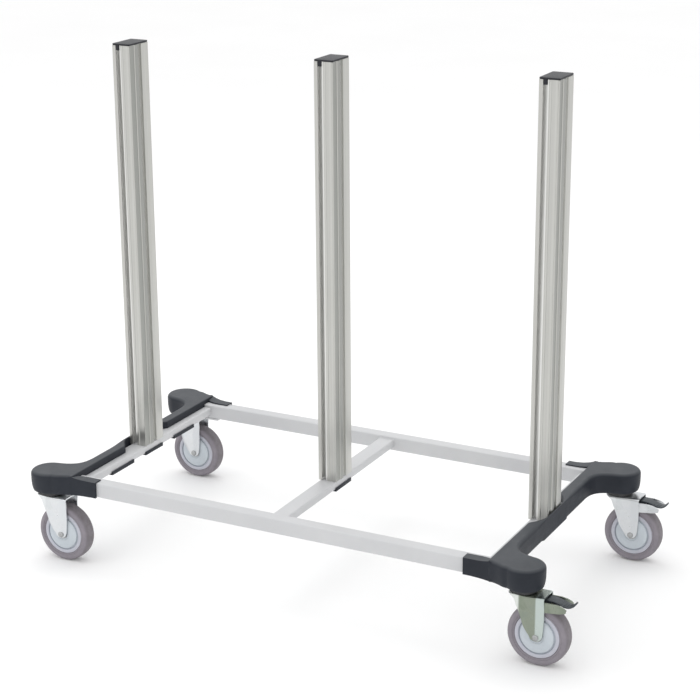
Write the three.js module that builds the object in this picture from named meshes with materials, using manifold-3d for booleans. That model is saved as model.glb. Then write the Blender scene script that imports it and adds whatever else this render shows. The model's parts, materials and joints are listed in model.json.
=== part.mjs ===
// Wheeled storage base with three slotted aluminium uprights, on four swivel castors (two braked).
// Units are millimetres. +X runs along the long rails, +Y to the rear, +Z up. The origin is on the
// floor, below the centre of the whole object's box.

import * as THREE from 'three';
import { mergeVertices } from 'three/addons/utils/BufferGeometryUtils.js';
import Module from 'manifold-3d';

const wasm = await Module();
wasm.setup();

// ---------------------------------------------------------------- driving dimensions

const GAP = 0.3; // clearance kept between pieces that touch

// wheels and castors
const WHEEL_RADIUS = 62.5;
const TYRE_HALF_WIDTH = 16;
const HUB_RADIUS = 46;
const TRAIL = 34; // from the swivel axis to the axle
const CASTOR_X = 546; // swivel axes, from the middle upright
const CASTOR_Y = 270;
const HEAD_TOP = 154;

// base frame
const RAIL_HALF_LENGTH = 497;
const RAIL_OUTER_Y = 278;
const RAIL_WIDTH = 30;
const RAIL_HEIGHT = 32;
const PLATE_THICKNESS = 4;
const TUBE_WALL = 2;
const CROSS_WIDTH = 36;
const CROSS_HEIGHT = 18;
const CROSS_DROP = 6; // the cross tubes lie this far below the rail tops
const END_TUBE_X = 479;

// uprights
const POST_WIDTH_X = 43;
const POST_WIDTH_Y = 71;
const POST_TOP = 1080;
const CAP_HEIGHT = 4;

// end mouldings
const COVER_TOP = 201;
const COVER_BOTTOM = 156.5;
const COVER_WALL = 4;
const COVER_INNER_X = 478;
const COVER_OUTER_X = 505;
const LOBE_RADIUS = 41;
const LOBE_X = 547;
const LOBE_Y = 271;
const LEG_END_X = 424;
const LEG_WALL = 5;
const LEG_LIP = 2.5;
const LEG_LIP_WIDTH = 18;

// heights and places that follow from them
const PLATE_BOTTOM = HEAD_TOP + GAP;
const PLATE_TOP = PLATE_BOTTOM + PLATE_THICKNESS;
const RAIL_BOTTOM = PLATE_TOP + GAP;
const RAIL_TOP = RAIL_BOTTOM + RAIL_HEIGHT;
const RAIL_INNER_Y = RAIL_OUTER_Y - RAIL_WIDTH;
const CROSS_TOP = RAIL_TOP - CROSS_DROP;
const CROSS_BOTTOM = CROSS_TOP - CROSS_HEIGHT;
const POST_BOTTOM = CROSS_TOP + GAP;

// brake pedal, measured from its castor's swivel axis
const PEDAL_PIVOT = [40, 131];
const PEDAL_TIP = [108, 143];
const PEDAL_HALF_WIDTH = 12;

// ---------------------------------------------------------------- materials

const finish = (color, roughness, metalness) => () => new THREE.MeshStandardMaterial({
  color,
  roughness,
  metalness,
});
const paintedSteel = finish(0xd2d3d5, 0.45, 0.1);
const anodised = finish(0xc2c4c0, 0.38, 0.85);
const blackPlastic = finish(0x3c3f45, 0.6, 0);
const capPlastic = finish(0x3a3a40, 0.55, 0);
const zincPlate = finish(0xd3d6d6, 0.3, 0.9);
const hubPlastic = finish(0xb6bfc8, 0.5, 0);
const greyTyre = finish(0x8f858b, 0.75, 0);
const darkSteel = finish(0x3c4145, 0.45, 0.6);
const brightSteel = finish(0xbfc2c4, 0.3, 1);

// ---------------------------------------------------------------- solid helpers

// Merges a geometry's shared corners and makes sure that its faces point outwards.
function welded(geometry) {
  const bare = geometry.clone();
  bare.deleteAttribute('normal');
  bare.deleteAttribute('uv');
  const merged = mergeVertices(bare, 1e-4);
  const index = Array.from(merged.index.array);
  const points = merged.attributes.position.array;
  let volume = 0;
  for (let i = 0; i < index.length; i += 3) {
    const [a, b, c] = [0, 1, 2].map((k) => new THREE.Vector3().fromArray(points, 3 * index[i + k]));
    volume += a.dot(b.cross(c));
  }
  const kept = [];
  for (let i = 0; i < index.length; i += 3) {
    const [a, b, c] = index.slice(i, i + 3);
    if (a !== b && b !== c && c !== a) kept.push(...(volume < 0 ? [a, c, b] : [a, b, c]));
  }
  merged.setIndex(kept);
  return merged;
}

function toManifold(geometry) {
  const closed = welded(geometry);
  return new wasm.Manifold(new wasm.Mesh({
    numProp: 3,
    vertProperties: new Float32Array(closed.attributes.position.array),
    triVerts: new Uint32Array(closed.index.array),
  }));
}

function toGeometry(manifold) {
  const mesh = manifold.getMesh();
  const geometry = new THREE.BufferGeometry();
  geometry.setAttribute('position', new THREE.BufferAttribute(new Float32Array(mesh.vertProperties), 3));
  geometry.setIndex(Array.from(mesh.triVerts));
  return geometry;
}

// Joins the first list of geometries and cuts the second list from them.
function combine(joined, cut = []) {
  let solid = toManifold(joined[0]);
  for (const piece of joined.slice(1)) solid = solid.add(toManifold(piece));
  for (const piece of cut) solid = solid.subtract(toManifold(piece));
  return toGeometry(solid);
}

function box([x0, x1], [y0, y1], [z0, z1]) {
  const geometry = new THREE.BoxGeometry(x1 - x0, y1 - y0, z1 - z0);
  return geometry.translate((x0 + x1) / 2, (y0 + y1) / 2, (z0 + z1) / 2);
}

function polygon(points) {
  return new THREE.Shape(points.map(([x, y]) => new THREE.Vector2(x, y)));
}

// A shape in X and Y, raised from z0 to z1.
function upright(shape, z0, z1, curveSegments = 4) {
  const geometry = new THREE.ExtrudeGeometry(shape, { depth: z1 - z0, bevelEnabled: false, curveSegments });
  return geometry.translate(0, 0, z0);
}

// A shape in X and Z, drawn through from y0 to y1.
function crosswise(shape, y0, y1, curveSegments = 6) {
  const geometry = new THREE.ExtrudeGeometry(shape, { depth: y1 - y0, bevelEnabled: false, curveSegments });
  return geometry.rotateX(Math.PI / 2).translate(0, y1, 0);
}

// A shape in Y and Z, drawn through from x0 to x1.
function lengthwise(shape, x0, x1, curveSegments = 3) {
  const geometry = new THREE.ExtrudeGeometry(shape, { depth: x1 - x0, bevelEnabled: false, curveSegments });
  return geometry.rotateX(Math.PI / 2).rotateZ(Math.PI / 2).translate(x0, 0, 0);
}

function disc(radius, z0, z1, x = 0, y = 0, sides = 20) {
  const geometry = new THREE.CylinderGeometry(radius, radius, z1 - z0, sides);
  return geometry.rotateX(Math.PI / 2).translate(x, y, (z0 + z1) / 2);
}

function axleDisc(radius, y0, y1, x, z, sides = 20) {
  return new THREE.CylinderGeometry(radius, radius, y1 - y0, sides).translate(x, (y0 + y1) / 2, z);
}

// Turned about the Z axis from [radius, height] points.
function turned(profile, sides) {
  const points = profile.map(([r, z]) => new THREE.Vector2(r, z));
  return new THREE.LatheGeometry(points, sides).rotateX(Math.PI / 2);
}

// Turned about the Y axis from [radius, width] points.
function turnedAboutAxle(profile, sides) {
  return new THREE.LatheGeometry(profile.map(([r, y]) => new THREE.Vector2(r, y)), sides);
}

function roundedRectangle(width, height, radius, x = 0, y = 0) {
  const [w, h] = [width / 2, height / 2];
  const shape = new THREE.Shape();
  shape.absarc(x + w - radius, y + h - radius, radius, 0, Math.PI / 2);
  shape.absarc(x - w + radius, y + h - radius, radius, Math.PI / 2, Math.PI);
  shape.absarc(x - w + radius, y - h + radius, radius, Math.PI, 1.5 * Math.PI);
  shape.absarc(x + w - radius, y - h + radius, radius, 1.5 * Math.PI, 2 * Math.PI);
  shape.closePath();
  return shape;
}

// A rectangular tube's section, hollow and open at both ends.
function tubeSection(width, height, x, y) {
  const section = roundedRectangle(width, height, 3, x, y);
  section.holes.push(roundedRectangle(width - 2 * TUBE_WALL, height - 2 * TUBE_WALL, 1.2, x, y));
  return section;
}

// Points of a loop moved inwards by a distance, along the mean of the two edges at each point.
function inset(loop, distance) {
  return loop.map((point, i) => {
    const before = loop[(i + loop.length - 1) % loop.length];
    const after = loop[(i + 1) % loop.length];
    const a = new THREE.Vector2(point[0] - before[0], point[1] - before[1]).normalize();
    const b = new THREE.Vector2(after[0] - point[0], after[1] - point[1]).normalize();
    const normal = new THREE.Vector2(-(a.y + b.y), a.x + b.x).normalize();
    const stretch = distance / Math.max(0.5, -a.y * normal.x + a.x * normal.y);
    return [point[0] + normal.x * stretch, point[1] + normal.y * stretch];
  });
}

// A closed body through loops of the same number of points, each at its own height.
function loft(loops) {
  const count = loops[0].points.length;
  const positions = loops.flatMap(({ points, z }) => points.flatMap(([x, y]) => [x, y, z]));
  const index = [];
  for (let k = 0; k < loops.length - 1; k += 1) {
    for (let i = 0; i < count; i += 1) {
      const [a, b] = [k * count + i, k * count + (i + 1) % count];
      index.push(a, b, b + count, a, b + count, a + count);
    }
  }
  const last = (loops.length - 1) * count;
  const flat = (loop) => loop.map(([x, y]) => new THREE.Vector2(x, y));
  for (const [a, b, c] of THREE.ShapeUtils.triangulateShape(flat(loops[0].points), [])) index.push(a, c, b);
  for (const [a, b, c] of THREE.ShapeUtils.triangulateShape(flat(loops.at(-1).points), [])) {
    index.push(last + a, last + b, last + c);
  }
  const geometry = new THREE.BufferGeometry();
  geometry.setAttribute('position', new THREE.Float32BufferAttribute(positions, 3));
  geometry.setIndex(index);
  return geometry;
}

// ---------------------------------------------------------------- assembly

const assembly = new THREE.Group();
// the pedals reach further out at one end than the mouldings do at the other
assembly.position.x = -(CASTOR_X + PEDAL_TIP[0] - LOBE_X - LOBE_RADIUS) / 2;

function add(name, geometry, material, parent = assembly) {
  const mesh = new THREE.Mesh(welded(geometry), material());
  mesh.name = name;
  parent.add(mesh);
  return mesh;
}

const ENDS = [['left', -1], ['right', 1]];
const SIDES = [['front', -1], ['rear', 1]];
const UPRIGHTS = [['left', -END_TUBE_X], ['middle', 0], ['right', END_TUBE_X]];

// ---------------------------------------------------------------- base frame

const railCentreY = RAIL_OUTER_Y - RAIL_WIDTH / 2;
const railCentreZ = RAIL_BOTTOM + RAIL_HEIGHT / 2;
const crossCentreZ = CROSS_BOTTOM + CROSS_HEIGHT / 2;
const crossHalfLength = RAIL_INNER_Y - GAP;

function longRail(side) {
  const section = tubeSection(RAIL_WIDTH, RAIL_HEIGHT, side * railCentreY, railCentreZ);
  return lengthwise(section, -RAIL_HALF_LENGTH, RAIL_HALF_LENGTH);
}

// The two holes take the bolts that hold the upright.
function crossTube(x) {
  const section = tubeSection(CROSS_WIDTH, CROSS_HEIGHT, x, crossCentreZ);
  const tube = crosswise(section, -crossHalfLength, crossHalfLength, 3);
  const holes = BOLT_Y.map((y) => disc(BOLT_RADIUS + GAP, CROSS_BOTTOM - 1, CROSS_TOP + 1, x, y, 10));
  return combine([tube], holes);
}

const BOLT_RADIUS = 4;
const BOLT_Y = [-19, 19];

for (const [sideName, side] of SIDES) add(`${sideName}_long_rail`, longRail(side), paintedSteel);
for (const [name, x] of UPRIGHTS) add(`${name}_cross_tube`, crossTube(x), paintedSteel);

// Castor plate: a steel gusset welded under a rail end, with a threaded boss for the castor's stud.
const BOSS_RADIUS = 11;
const BOSS_HEIGHT = 10;
const STUD_RADIUS = 6;
const PLATE_ROUND = 30;

function castorPlate(end, side) {
  const outline = new THREE.Shape();
  outline.moveTo(LEG_END_X + 20, RAIL_INNER_Y + 1);
  outline.lineTo(RAIL_HALF_LENGTH - 12, RAIL_INNER_Y + 1);
  outline.lineTo(CASTOR_X - 12, CASTOR_Y - PLATE_ROUND + 3);
  outline.absarc(CASTOR_X, CASTOR_Y, PLATE_ROUND, -0.55 * Math.PI, 0.62 * Math.PI);
  outline.lineTo(RAIL_HALF_LENGTH - 12, RAIL_OUTER_Y - 1);
  outline.lineTo(LEG_END_X + 20, RAIL_OUTER_Y - 1);
  outline.closePath();
  const plate = upright(outline, PLATE_BOTTOM, PLATE_TOP, 10);
  const boss = disc(BOSS_RADIUS, PLATE_TOP - 1, PLATE_TOP + BOSS_HEIGHT, CASTOR_X, CASTOR_Y, 16);
  const hole = disc(STUD_RADIUS + GAP, PLATE_BOTTOM - 1, PLATE_TOP + BOSS_HEIGHT + 1, CASTOR_X, CASTOR_Y, 16);
  return combine([plate, boss], [hole]).scale(end, side, 1);
}

for (const [endName, end] of ENDS) {
  for (const [sideName, side] of SIDES) {
    add(`${sideName}_${endName}_castor_plate`, castorPlate(end, side), paintedSteel);
  }
}

// ---------------------------------------------------------------- uprights

// Half of the extrusion's outline: the front face from left to right, then the right-hand face from
// front to rear. The other half is the same, turned round by half a turn.
const SLOT_X = [-13, -4]; // mouth of the undercut slot in the front face
const SLOT_POCKET_X = [-17, -0.5];
const SLOT_LIP = 2.5;
const SLOT_DEPTH = 11;
const FACE_RECESS = 1.2;
const FRONT_RIB_X = [0, 5];
const EDGE_BAND = 3;
const CHANNEL_Y = [-32.5, -15]; // shallow channel in the right-hand face
const CHANNEL_DEPTH = 2;
const GROOVE_Y = [-3, 9]; // deep groove in the right-hand face
const GROOVE_DEPTH = 8;
const POST_CORNER = 1.5;

function postHalfOutline() {
  const [hx, hy] = [POST_WIDTH_X / 2, POST_WIDTH_Y / 2];
  const [mouthLeft, mouthRight] = SLOT_X;
  const [pocketLeft, pocketRight] = SLOT_POCKET_X;
  return [
    [-hx, -hy + POST_CORNER],
    [-hx + POST_CORNER * 0.3, -hy + POST_CORNER * 0.3],
    [-hx + POST_CORNER, -hy],
    [mouthLeft, -hy],
    [mouthLeft, -hy + SLOT_LIP],
    [pocketLeft, -hy + SLOT_LIP],
    [pocketLeft, -hy + SLOT_DEPTH],
    [pocketRight, -hy + SLOT_DEPTH],
    [pocketRight, -hy + SLOT_LIP + FACE_RECESS],
    [mouthRight, -hy + SLOT_LIP + FACE_RECESS],
    [mouthRight, -hy + FACE_RECESS],
    [FRONT_RIB_X[0], -hy + FACE_RECESS],
    [FRONT_RIB_X[0] + 0.8, -hy],
    [FRONT_RIB_X[1] - 0.8, -hy],
    [FRONT_RIB_X[1], -hy + FACE_RECESS],
    [hx - EDGE_BAND - FACE_RECESS, -hy + FACE_RECESS],
    [hx - EDGE_BAND, -hy],
    [hx - POST_CORNER, -hy],
    [hx - POST_CORNER * 0.3, -hy + POST_CORNER * 0.3],
    [hx, -hy + POST_CORNER],
    [hx, CHANNEL_Y[0]],
    [hx - CHANNEL_DEPTH, CHANNEL_Y[0] + 1],
    [hx - CHANNEL_DEPTH, CHANNEL_Y[1] - 1],
    [hx, CHANNEL_Y[1]],
    [hx, GROOVE_Y[0]],
    [hx - GROOVE_DEPTH, GROOVE_Y[0] + 1],
    [hx - GROOVE_DEPTH, GROOVE_Y[1] - 1],
    [hx, GROOVE_Y[1]],
  ];
}

const turnedRound = (loop) => loop.map(([x, y]) => [-x, -y]);
const rectangle = ([x0, x1], [y0, y1]) => [[x0, y0], [x1, y0], [x1, y1], [x0, y1]];

const CHAMBER_HALF_WIDTH = 10.5;
const CHAMBER_HALF_LENGTH = 12;

function post(x) {
  const half = postHalfOutline();
  const solid = upright(polygon([...half, ...turnedRound(half)]), POST_BOTTOM, POST_TOP - CAP_HEIGHT);
  const ports = BOLT_Y.map((y) => disc(BOLT_RADIUS + GAP, POST_BOTTOM - 1, POST_TOP, 0, y, 10));
  const chambers = [rectangle([7, 16.5], [-31, -14.5]), rectangle([-18.5, -7], [-22, -14.5])];
  const middle = rectangle([-CHAMBER_HALF_WIDTH, CHAMBER_HALF_WIDTH], [-CHAMBER_HALF_LENGTH, CHAMBER_HALF_LENGTH]);
  const hollows = [middle, ...chambers, ...chambers.map(turnedRound)];
  const bores = hollows.map((loop) => upright(polygon(loop), POST_BOTTOM - 1, POST_TOP));
  return combine([solid], [...bores, ...ports]).translate(x, 0, 0);
}

// A moulded cap with a tab that hangs in each slot and a plug in the middle chamber.
const TAB_LENGTH = 14;

function postCap(x) {
  const bottom = POST_TOP - CAP_HEIGHT + GAP;
  const top = upright(roundedRectangle(POST_WIDTH_X, POST_WIDTH_Y, 3), bottom, POST_TOP);
  const across = [SLOT_X[0] + 0.7, SLOT_X[1] - 0.7];
  const frontTab = box(across, [-POST_WIDTH_Y / 2 - 0.4, -POST_WIDTH_Y / 2 + 7], [POST_TOP - TAB_LENGTH, bottom + 0.5]);
  const plugY = CHAMBER_HALF_LENGTH - 1;
  const plug = box([-CHAMBER_HALF_WIDTH + 1, CHAMBER_HALF_WIDTH - 1], [-plugY, plugY], [POST_TOP - 12, bottom + 0.5]);
  const rearTab = frontTab.clone().rotateZ(Math.PI);
  return combine([top, frontTab, rearTab, plug]).translate(x, 0, 0);
}

// The foot plate hooks round both lower edges of the cross tube, right below the upright.
const FOOT_LIP = 2.3;
const FOOT_THICKNESS = 3;
const FOOT_RISE = 5;
const FOOT_HALF_LENGTH = 35;

function footPlate(x) {
  const hw = CROSS_WIDTH / 2 + GAP;
  const [bottom, top] = [CROSS_BOTTOM - GAP - FOOT_THICKNESS, CROSS_BOTTOM - GAP];
  const section = polygon([
    [-hw - FOOT_LIP, bottom],
    [hw + FOOT_LIP, bottom],
    [hw + FOOT_LIP, top + FOOT_RISE],
    [hw, top + FOOT_RISE],
    [hw, top],
    [-hw, top],
    [-hw, top + FOOT_RISE],
    [-hw - FOOT_LIP, top + FOOT_RISE],
  ]);
  const holes = BOLT_Y.map((y) => disc(BOLT_RADIUS + GAP, bottom - 1, top + 1, 0, y, 10));
  return combine([crosswise(section, -FOOT_HALF_LENGTH, FOOT_HALF_LENGTH)], holes).translate(x, 0, 0);
}

const BOLT_HEAD_RADIUS = 7.5;
const BOLT_HEAD_HEIGHT = 5.3;
const BOLT_GRIP = 28; // how far the bolt reaches into the upright

function postBolt(x, y) {
  const headTop = CROSS_BOTTOM - FOOT_THICKNESS - 2 * GAP;
  const head = disc(BOLT_HEAD_RADIUS, headTop - BOLT_HEAD_HEIGHT, headTop, x, y, 6);
  const shank = disc(BOLT_RADIUS - GAP, headTop - 1, POST_BOTTOM + BOLT_GRIP, x, y, 10);
  return combine([head, shank]);
}

for (const [name, x] of UPRIGHTS) {
  add(`${name}_upright`, post(x), anodised);
  add(`${name}_upright_cap`, postCap(x), capPlastic);
  add(`${name}_foot_plate`, footPlate(x), blackPlastic);
  for (const [i, [sideName]] of SIDES.entries()) {
    add(`${name}_upright_${sideName}_bolt`, postBolt(x, BOLT_Y[i]), brightSteel);
  }
}

// ---------------------------------------------------------------- end mouldings

// Half of the moulding's plan, from the middle of the outer face round the corner lobe to the
// middle of the inner face. The upright stands in a flared notch in the inner face.
const NOTCH_X = END_TUBE_X + POST_WIDTH_X / 2 + 0.5;
const NOTCH_HALF_LENGTH = 40;
const NOTCH_FLARE_END = 86;
const LOBE_START = 80 * (Math.PI / 180);
const LOBE_TURN = 206 * (Math.PI / 180);

function coverHalf() {
  const onLobe = (angle) => [LOBE_X + LOBE_RADIUS * Math.cos(angle), -LOBE_Y + LOBE_RADIUS * Math.sin(angle)];
  const waist = [COVER_OUTER_X, -172];
  const lobeEnter = onLobe(LOBE_START);
  const flareEnd = [COVER_INNER_X, -RAIL_OUTER_Y - 12];
  const points = [waist];
  points.push(...bend(waist, [COVER_OUTER_X, -212], [lobeEnter[0] - 38, lobeEnter[1] + 7], lobeEnter, 5));
  for (let i = 1; i <= 9; i += 1) points.push(onLobe(LOBE_START - (LOBE_TURN * i) / 9));
  points.push(...bend(points.at(-1), [LOBE_X - 40, -LOBE_Y - 33], [flareEnd[0] + 20, flareEnd[1] - 5], flareEnd, 3));
  return points;
}

// Points along a curve that leaves one point for a second one, without the first point itself.
function bend(from, c1, c2, to, steps) {
  const bezier = new THREE.CubicBezierCurve(...[from, c1, c2, to].map(([x, y]) => new THREE.Vector2(x, y)));
  return bezier.getPoints(steps).slice(1).map((p) => [p.x, p.y]);
}

function bothWays(half) {
  return [...half, ...half.map(([x, y]) => [x, -y]).reverse()].reverse();
}

// The notch, made wider all round by a margin.
function notchOutline(margin) {
  const mouth = [COVER_INNER_X - 6, -NOTCH_FLARE_END - margin - 6];
  const edge = [COVER_INNER_X, -NOTCH_FLARE_END - margin];
  const corner = [NOTCH_X + margin, -NOTCH_HALF_LENGTH - margin];
  const curve = bend(edge, [COVER_INNER_X + 14, -68 - margin], [NOTCH_X + margin, -58 - margin], corner, 4);
  return bothWays([mouth, edge, ...curve].reverse());
}

// The leg reaches along the outside of the rail, thickens into the lobe and laps over the rail top.
const LEG_TOP = RAIL_TOP + GAP + LEG_LIP;
const LEG_THICKENS_AT = LEG_END_X + 28;

function coverLeg() {
  const [inner, outer] = [RAIL_OUTER_Y + GAP, RAIL_OUTER_Y + GAP + LEG_WALL];
  const wall = upright(polygon([
    [LEG_END_X, inner],
    [COVER_INNER_X + 2, inner],
    [COVER_INNER_X + 2, RAIL_OUTER_Y + 12.4],
    [LEG_THICKENS_AT, outer],
    [LEG_END_X, outer],
  ]), RAIL_BOTTOM, LEG_TOP);
  const lipEdge = RAIL_OUTER_Y - LEG_LIP_WIDTH;
  const lip = box([LEG_END_X, COVER_INNER_X + 2], [lipEdge, inner + 1], [RAIL_TOP + GAP, LEG_TOP]);
  return [wall, lip];
}

// The hook passes under the end tube and turns up over its inner edge.
const HOOK_Y = [82, 168];

function coverHook() {
  const inner = END_TUBE_X - CROSS_WIDTH / 2 - GAP;
  const [bottom, top] = [CROSS_BOTTOM - GAP - FOOT_THICKNESS, CROSS_BOTTOM - GAP];
  return crosswise(polygon([
    [inner - FOOT_LIP, bottom],
    [COVER_OUTER_X - 1, bottom],
    [COVER_OUTER_X - 1, top],
    [inner, top],
    [inner, top + FOOT_RISE],
    [inner - FOOT_LIP, top + FOOT_RISE],
  ]), ...HOOK_Y);
}

function endCover(end) {
  const outline = bothWays(coverHalf());
  const cavity = inset(outline, COVER_WALL);
  const both = (geometry) => [geometry, geometry.clone().scale(1, -1, 1)];
  const body = loft([
    { points: inset(outline, 3), z: COVER_BOTTOM },
    { points: outline, z: COVER_BOTTOM + 16 },
    { points: outline, z: COVER_TOP - 7 },
    { points: inset(outline, 2), z: COVER_TOP - 2 },
    { points: inset(outline, 6), z: COVER_TOP },
  ]);
  const hollow = loft([
    { points: inset(cavity, 2), z: COVER_BOTTOM - 1 },
    { points: cavity, z: COVER_BOTTOM + 16 },
    { points: cavity, z: COVER_TOP - COVER_WALL - 3 },
    { points: inset(cavity, 3), z: COVER_TOP - COVER_WALL },
  ]);
  const notch = upright(polygon(notchOutline(0)), COVER_BOTTOM - 2, COVER_TOP + 1);
  const notchWall = upright(polygon(notchOutline(COVER_WALL)), COVER_BOTTOM - 2, COVER_TOP + 1);
  const reach = [LEG_END_X - 5, RAIL_HALF_LENGTH + GAP];
  const railSpace = box(reach, [RAIL_INNER_Y - GAP, RAIL_OUTER_Y + GAP], [COVER_BOTTOM - 1, RAIL_TOP + GAP]);
  const tubeSpace = box(reach, [-RAIL_INNER_Y, RAIL_INNER_Y], [COVER_BOTTOM - 1, CROSS_TOP + GAP]);
  const inside = toManifold(hollow).subtract(toManifold(notchWall));
  let solid = toManifold(body).subtract(inside).subtract(toManifold(notch)).subtract(toManifold(tubeSpace));
  for (const leg of coverLeg()) for (const piece of both(leg)) solid = solid.add(toManifold(piece));
  for (const space of both(railSpace)) solid = solid.subtract(toManifold(space));
  for (const hook of both(coverHook())) solid = solid.add(toManifold(hook));
  return toGeometry(solid).scale(end, 1, 1);
}

for (const [endName, end] of ENDS) add(`${endName}_end_moulding`, endCover(end), blackPlastic);

// ---------------------------------------------------------------- castors

// Every castor is drawn about its own swivel axis and trails towards +X.
const CROWN_TOP = HEAD_TOP - 7.7;
const CROWN_BOTTOM = CROWN_TOP - 5;
const CROWN_END_X = 50;
const CHEEK_INNER_Y = 21;
const CHEEK_THICKNESS = 3;
const AXLE_RADIUS = 4;
const BEARING_RADIUS = 11;

function swivelHead() {
  return turned([
    [0, CROWN_BOTTOM - 4],
    [12, CROWN_BOTTOM - 4],
    [12, CROWN_BOTTOM - GAP],
    [8, CROWN_BOTTOM - GAP],
    [8, CROWN_TOP + GAP],
    [24, CROWN_TOP + GAP],
    [26, CROWN_TOP + 3],
    [26, HEAD_TOP - 2],
    [24, HEAD_TOP],
    [STUD_RADIUS, HEAD_TOP],
    [STUD_RADIUS, HEAD_TOP + 20],
    [0, HEAD_TOP + 20],
  ], 20);
}

// A cheek slants on its leading side and hangs straight down on its trailing side.
function forkCheekShape() {
  const shape = new THREE.Shape();
  shape.moveTo(-14, CROWN_TOP - 1);
  shape.lineTo(-11, CROWN_BOTTOM - 5);
  shape.lineTo(1, 108);
  shape.lineTo(9, 84);
  shape.lineTo(TRAIL - 12.5, WHEEL_RADIUS + 2);
  shape.quadraticCurveTo(TRAIL - 10, WHEEL_RADIUS - 7, TRAIL, WHEEL_RADIUS - 7);
  shape.quadraticCurveTo(CROWN_END_X - 3, WHEEL_RADIUS - 7, CROWN_END_X - 2, WHEEL_RADIUS + 9);
  shape.lineTo(CROWN_END_X, WHEEL_RADIUS + 36);
  shape.lineTo(CROWN_END_X, CROWN_TOP - 1);
  shape.closePath();
  return shape;
}

function fork() {
  const outer = CHEEK_INNER_Y + CHEEK_THICKNESS;
  const crownShape = roundedRectangle(CROWN_END_X + 24, 2 * outer, 10, 1, 0);
  const crown = upright(crownShape, CROWN_BOTTOM, CROWN_TOP, 3).translate(CROWN_END_X / 2 - 12, 0, 0);
  const cheeks = [-outer, CHEEK_INNER_Y].map((y) => crosswise(forkCheekShape(), y, y + CHEEK_THICKNESS, 5));
  const corners = box([-30, CROWN_END_X + 5], [-outer - 1, outer + 1], [CROWN_BOTTOM + 1, CROWN_TOP + 1]);
  const trim = toManifold(corners).subtract(toManifold(crown));
  const pinHole = disc(8 + GAP, CROWN_BOTTOM - 1, CROWN_TOP + 1, 0, 0, 16);
  const axleHole = axleDisc(AXLE_RADIUS + GAP, -outer - 1, outer + 1, TRAIL, WHEEL_RADIUS, 12);
  return toGeometry(toManifold(combine([crown, ...cheeks], [pinHole, axleHole])).subtract(trim));
}

function axleBolt() {
  const outer = CHEEK_INNER_Y + CHEEK_THICKNESS + GAP;
  const head = axleDisc(6.5, -outer - 2.4, -outer, TRAIL, WHEEL_RADIUS, 16);
  const shank = axleDisc(AXLE_RADIUS, -outer - 1, outer + 5, TRAIL, WHEEL_RADIUS, 12);
  return combine([head, shank]);
}

function axleNut() {
  const outer = CHEEK_INNER_Y + CHEEK_THICKNESS + GAP;
  const nut = axleDisc(7, outer, outer + 4, TRAIL, WHEEL_RADIUS, 6);
  return combine([nut], [axleDisc(AXLE_RADIUS + GAP, outer - 1, outer + 5, TRAIL, WHEEL_RADIUS, 12)]);
}

// A ring round the axle. Its flats, not its edges, are at the stated radii, and one flat faces down.
function ring(profile, sides) {
  const reach = 1 / Math.cos(Math.PI / sides);
  const closed = [...profile, profile[0]].map(([r, y]) => [r * reach, y]);
  return turnedAboutAxle(closed, sides).rotateY(Math.PI / sides).translate(TRAIL, 0, WHEEL_RADIUS);
}

const mirroredProfile = (half) => [...half, ...half.map(([r, y]) => [r, -y]).reverse()];

// The hub has a raised disc inside a ring groove on each side.
function wheelHub() {
  return ring(mirroredProfile([
    [HUB_RADIUS, 14],
    [HUB_RADIUS - 7, 15],
    [HUB_RADIUS - 9, 13],
    [HUB_RADIUS - 11, 17],
    [BEARING_RADIUS + 4, 18],
    [BEARING_RADIUS + GAP, 18],
  ].reverse()), 28);
}

function wheelBearing() {
  return ring(mirroredProfile([[BEARING_RADIUS, 18.5], [AXLE_RADIUS + GAP, 18.5]].reverse()), 16);
}

function tyre() {
  return ring(mirroredProfile([
    [HUB_RADIUS + GAP, 14.5],
    [HUB_RADIUS + 4, TYRE_HALF_WIDTH],
    [WHEEL_RADIUS - 6, TYRE_HALF_WIDTH],
    [WHEEL_RADIUS - 1.8, TYRE_HALF_WIDTH - 4],
    [WHEEL_RADIUS, TYRE_HALF_WIDTH - 10],
  ]), 48);
}

// Brake: a plated channel under the fork's crown carries the pedal on a cross pin.
const BRACKET_OUTER_Y = CHEEK_INNER_Y - GAP;
const BRACKET_CHEEK = 2.5;
const PIN_RADIUS = 3;
const EAR_THICKNESS = 3;

function brakeBracket() {
  const [px, pz] = PEDAL_PIVOT;
  const shape = polygon([
    [2, 126],
    [38, 121],
    [46, 116.5],
    [65, 118.5],
    [80, 120.3],
    [92, 123.5],
    [93.5, 129.5],
    [90, 132.6],
    [81, 136],
    [70, 137.6],
    [46, 137.6],
    [2, 136],
  ]);
  const inner = BRACKET_OUTER_Y - BRACKET_CHEEK;
  const cheeks = [-BRACKET_OUTER_Y, inner].map((y) => crosswise(shape, y, y + BRACKET_CHEEK));
  const web = box([4, 27], [-inner - 1, inner + 1], [133, 135.5]);
  const pinHole = axleDisc(PIN_RADIUS + GAP, -30, 30, px, pz, 12);
  return combine([...cheeks, web], [pinHole]);
}

function brakePin() {
  const [px, pz] = PEDAL_PIVOT;
  return axleDisc(PIN_RADIUS, -BRACKET_OUTER_Y, BRACKET_OUTER_Y, px, pz, 12);
}

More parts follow.
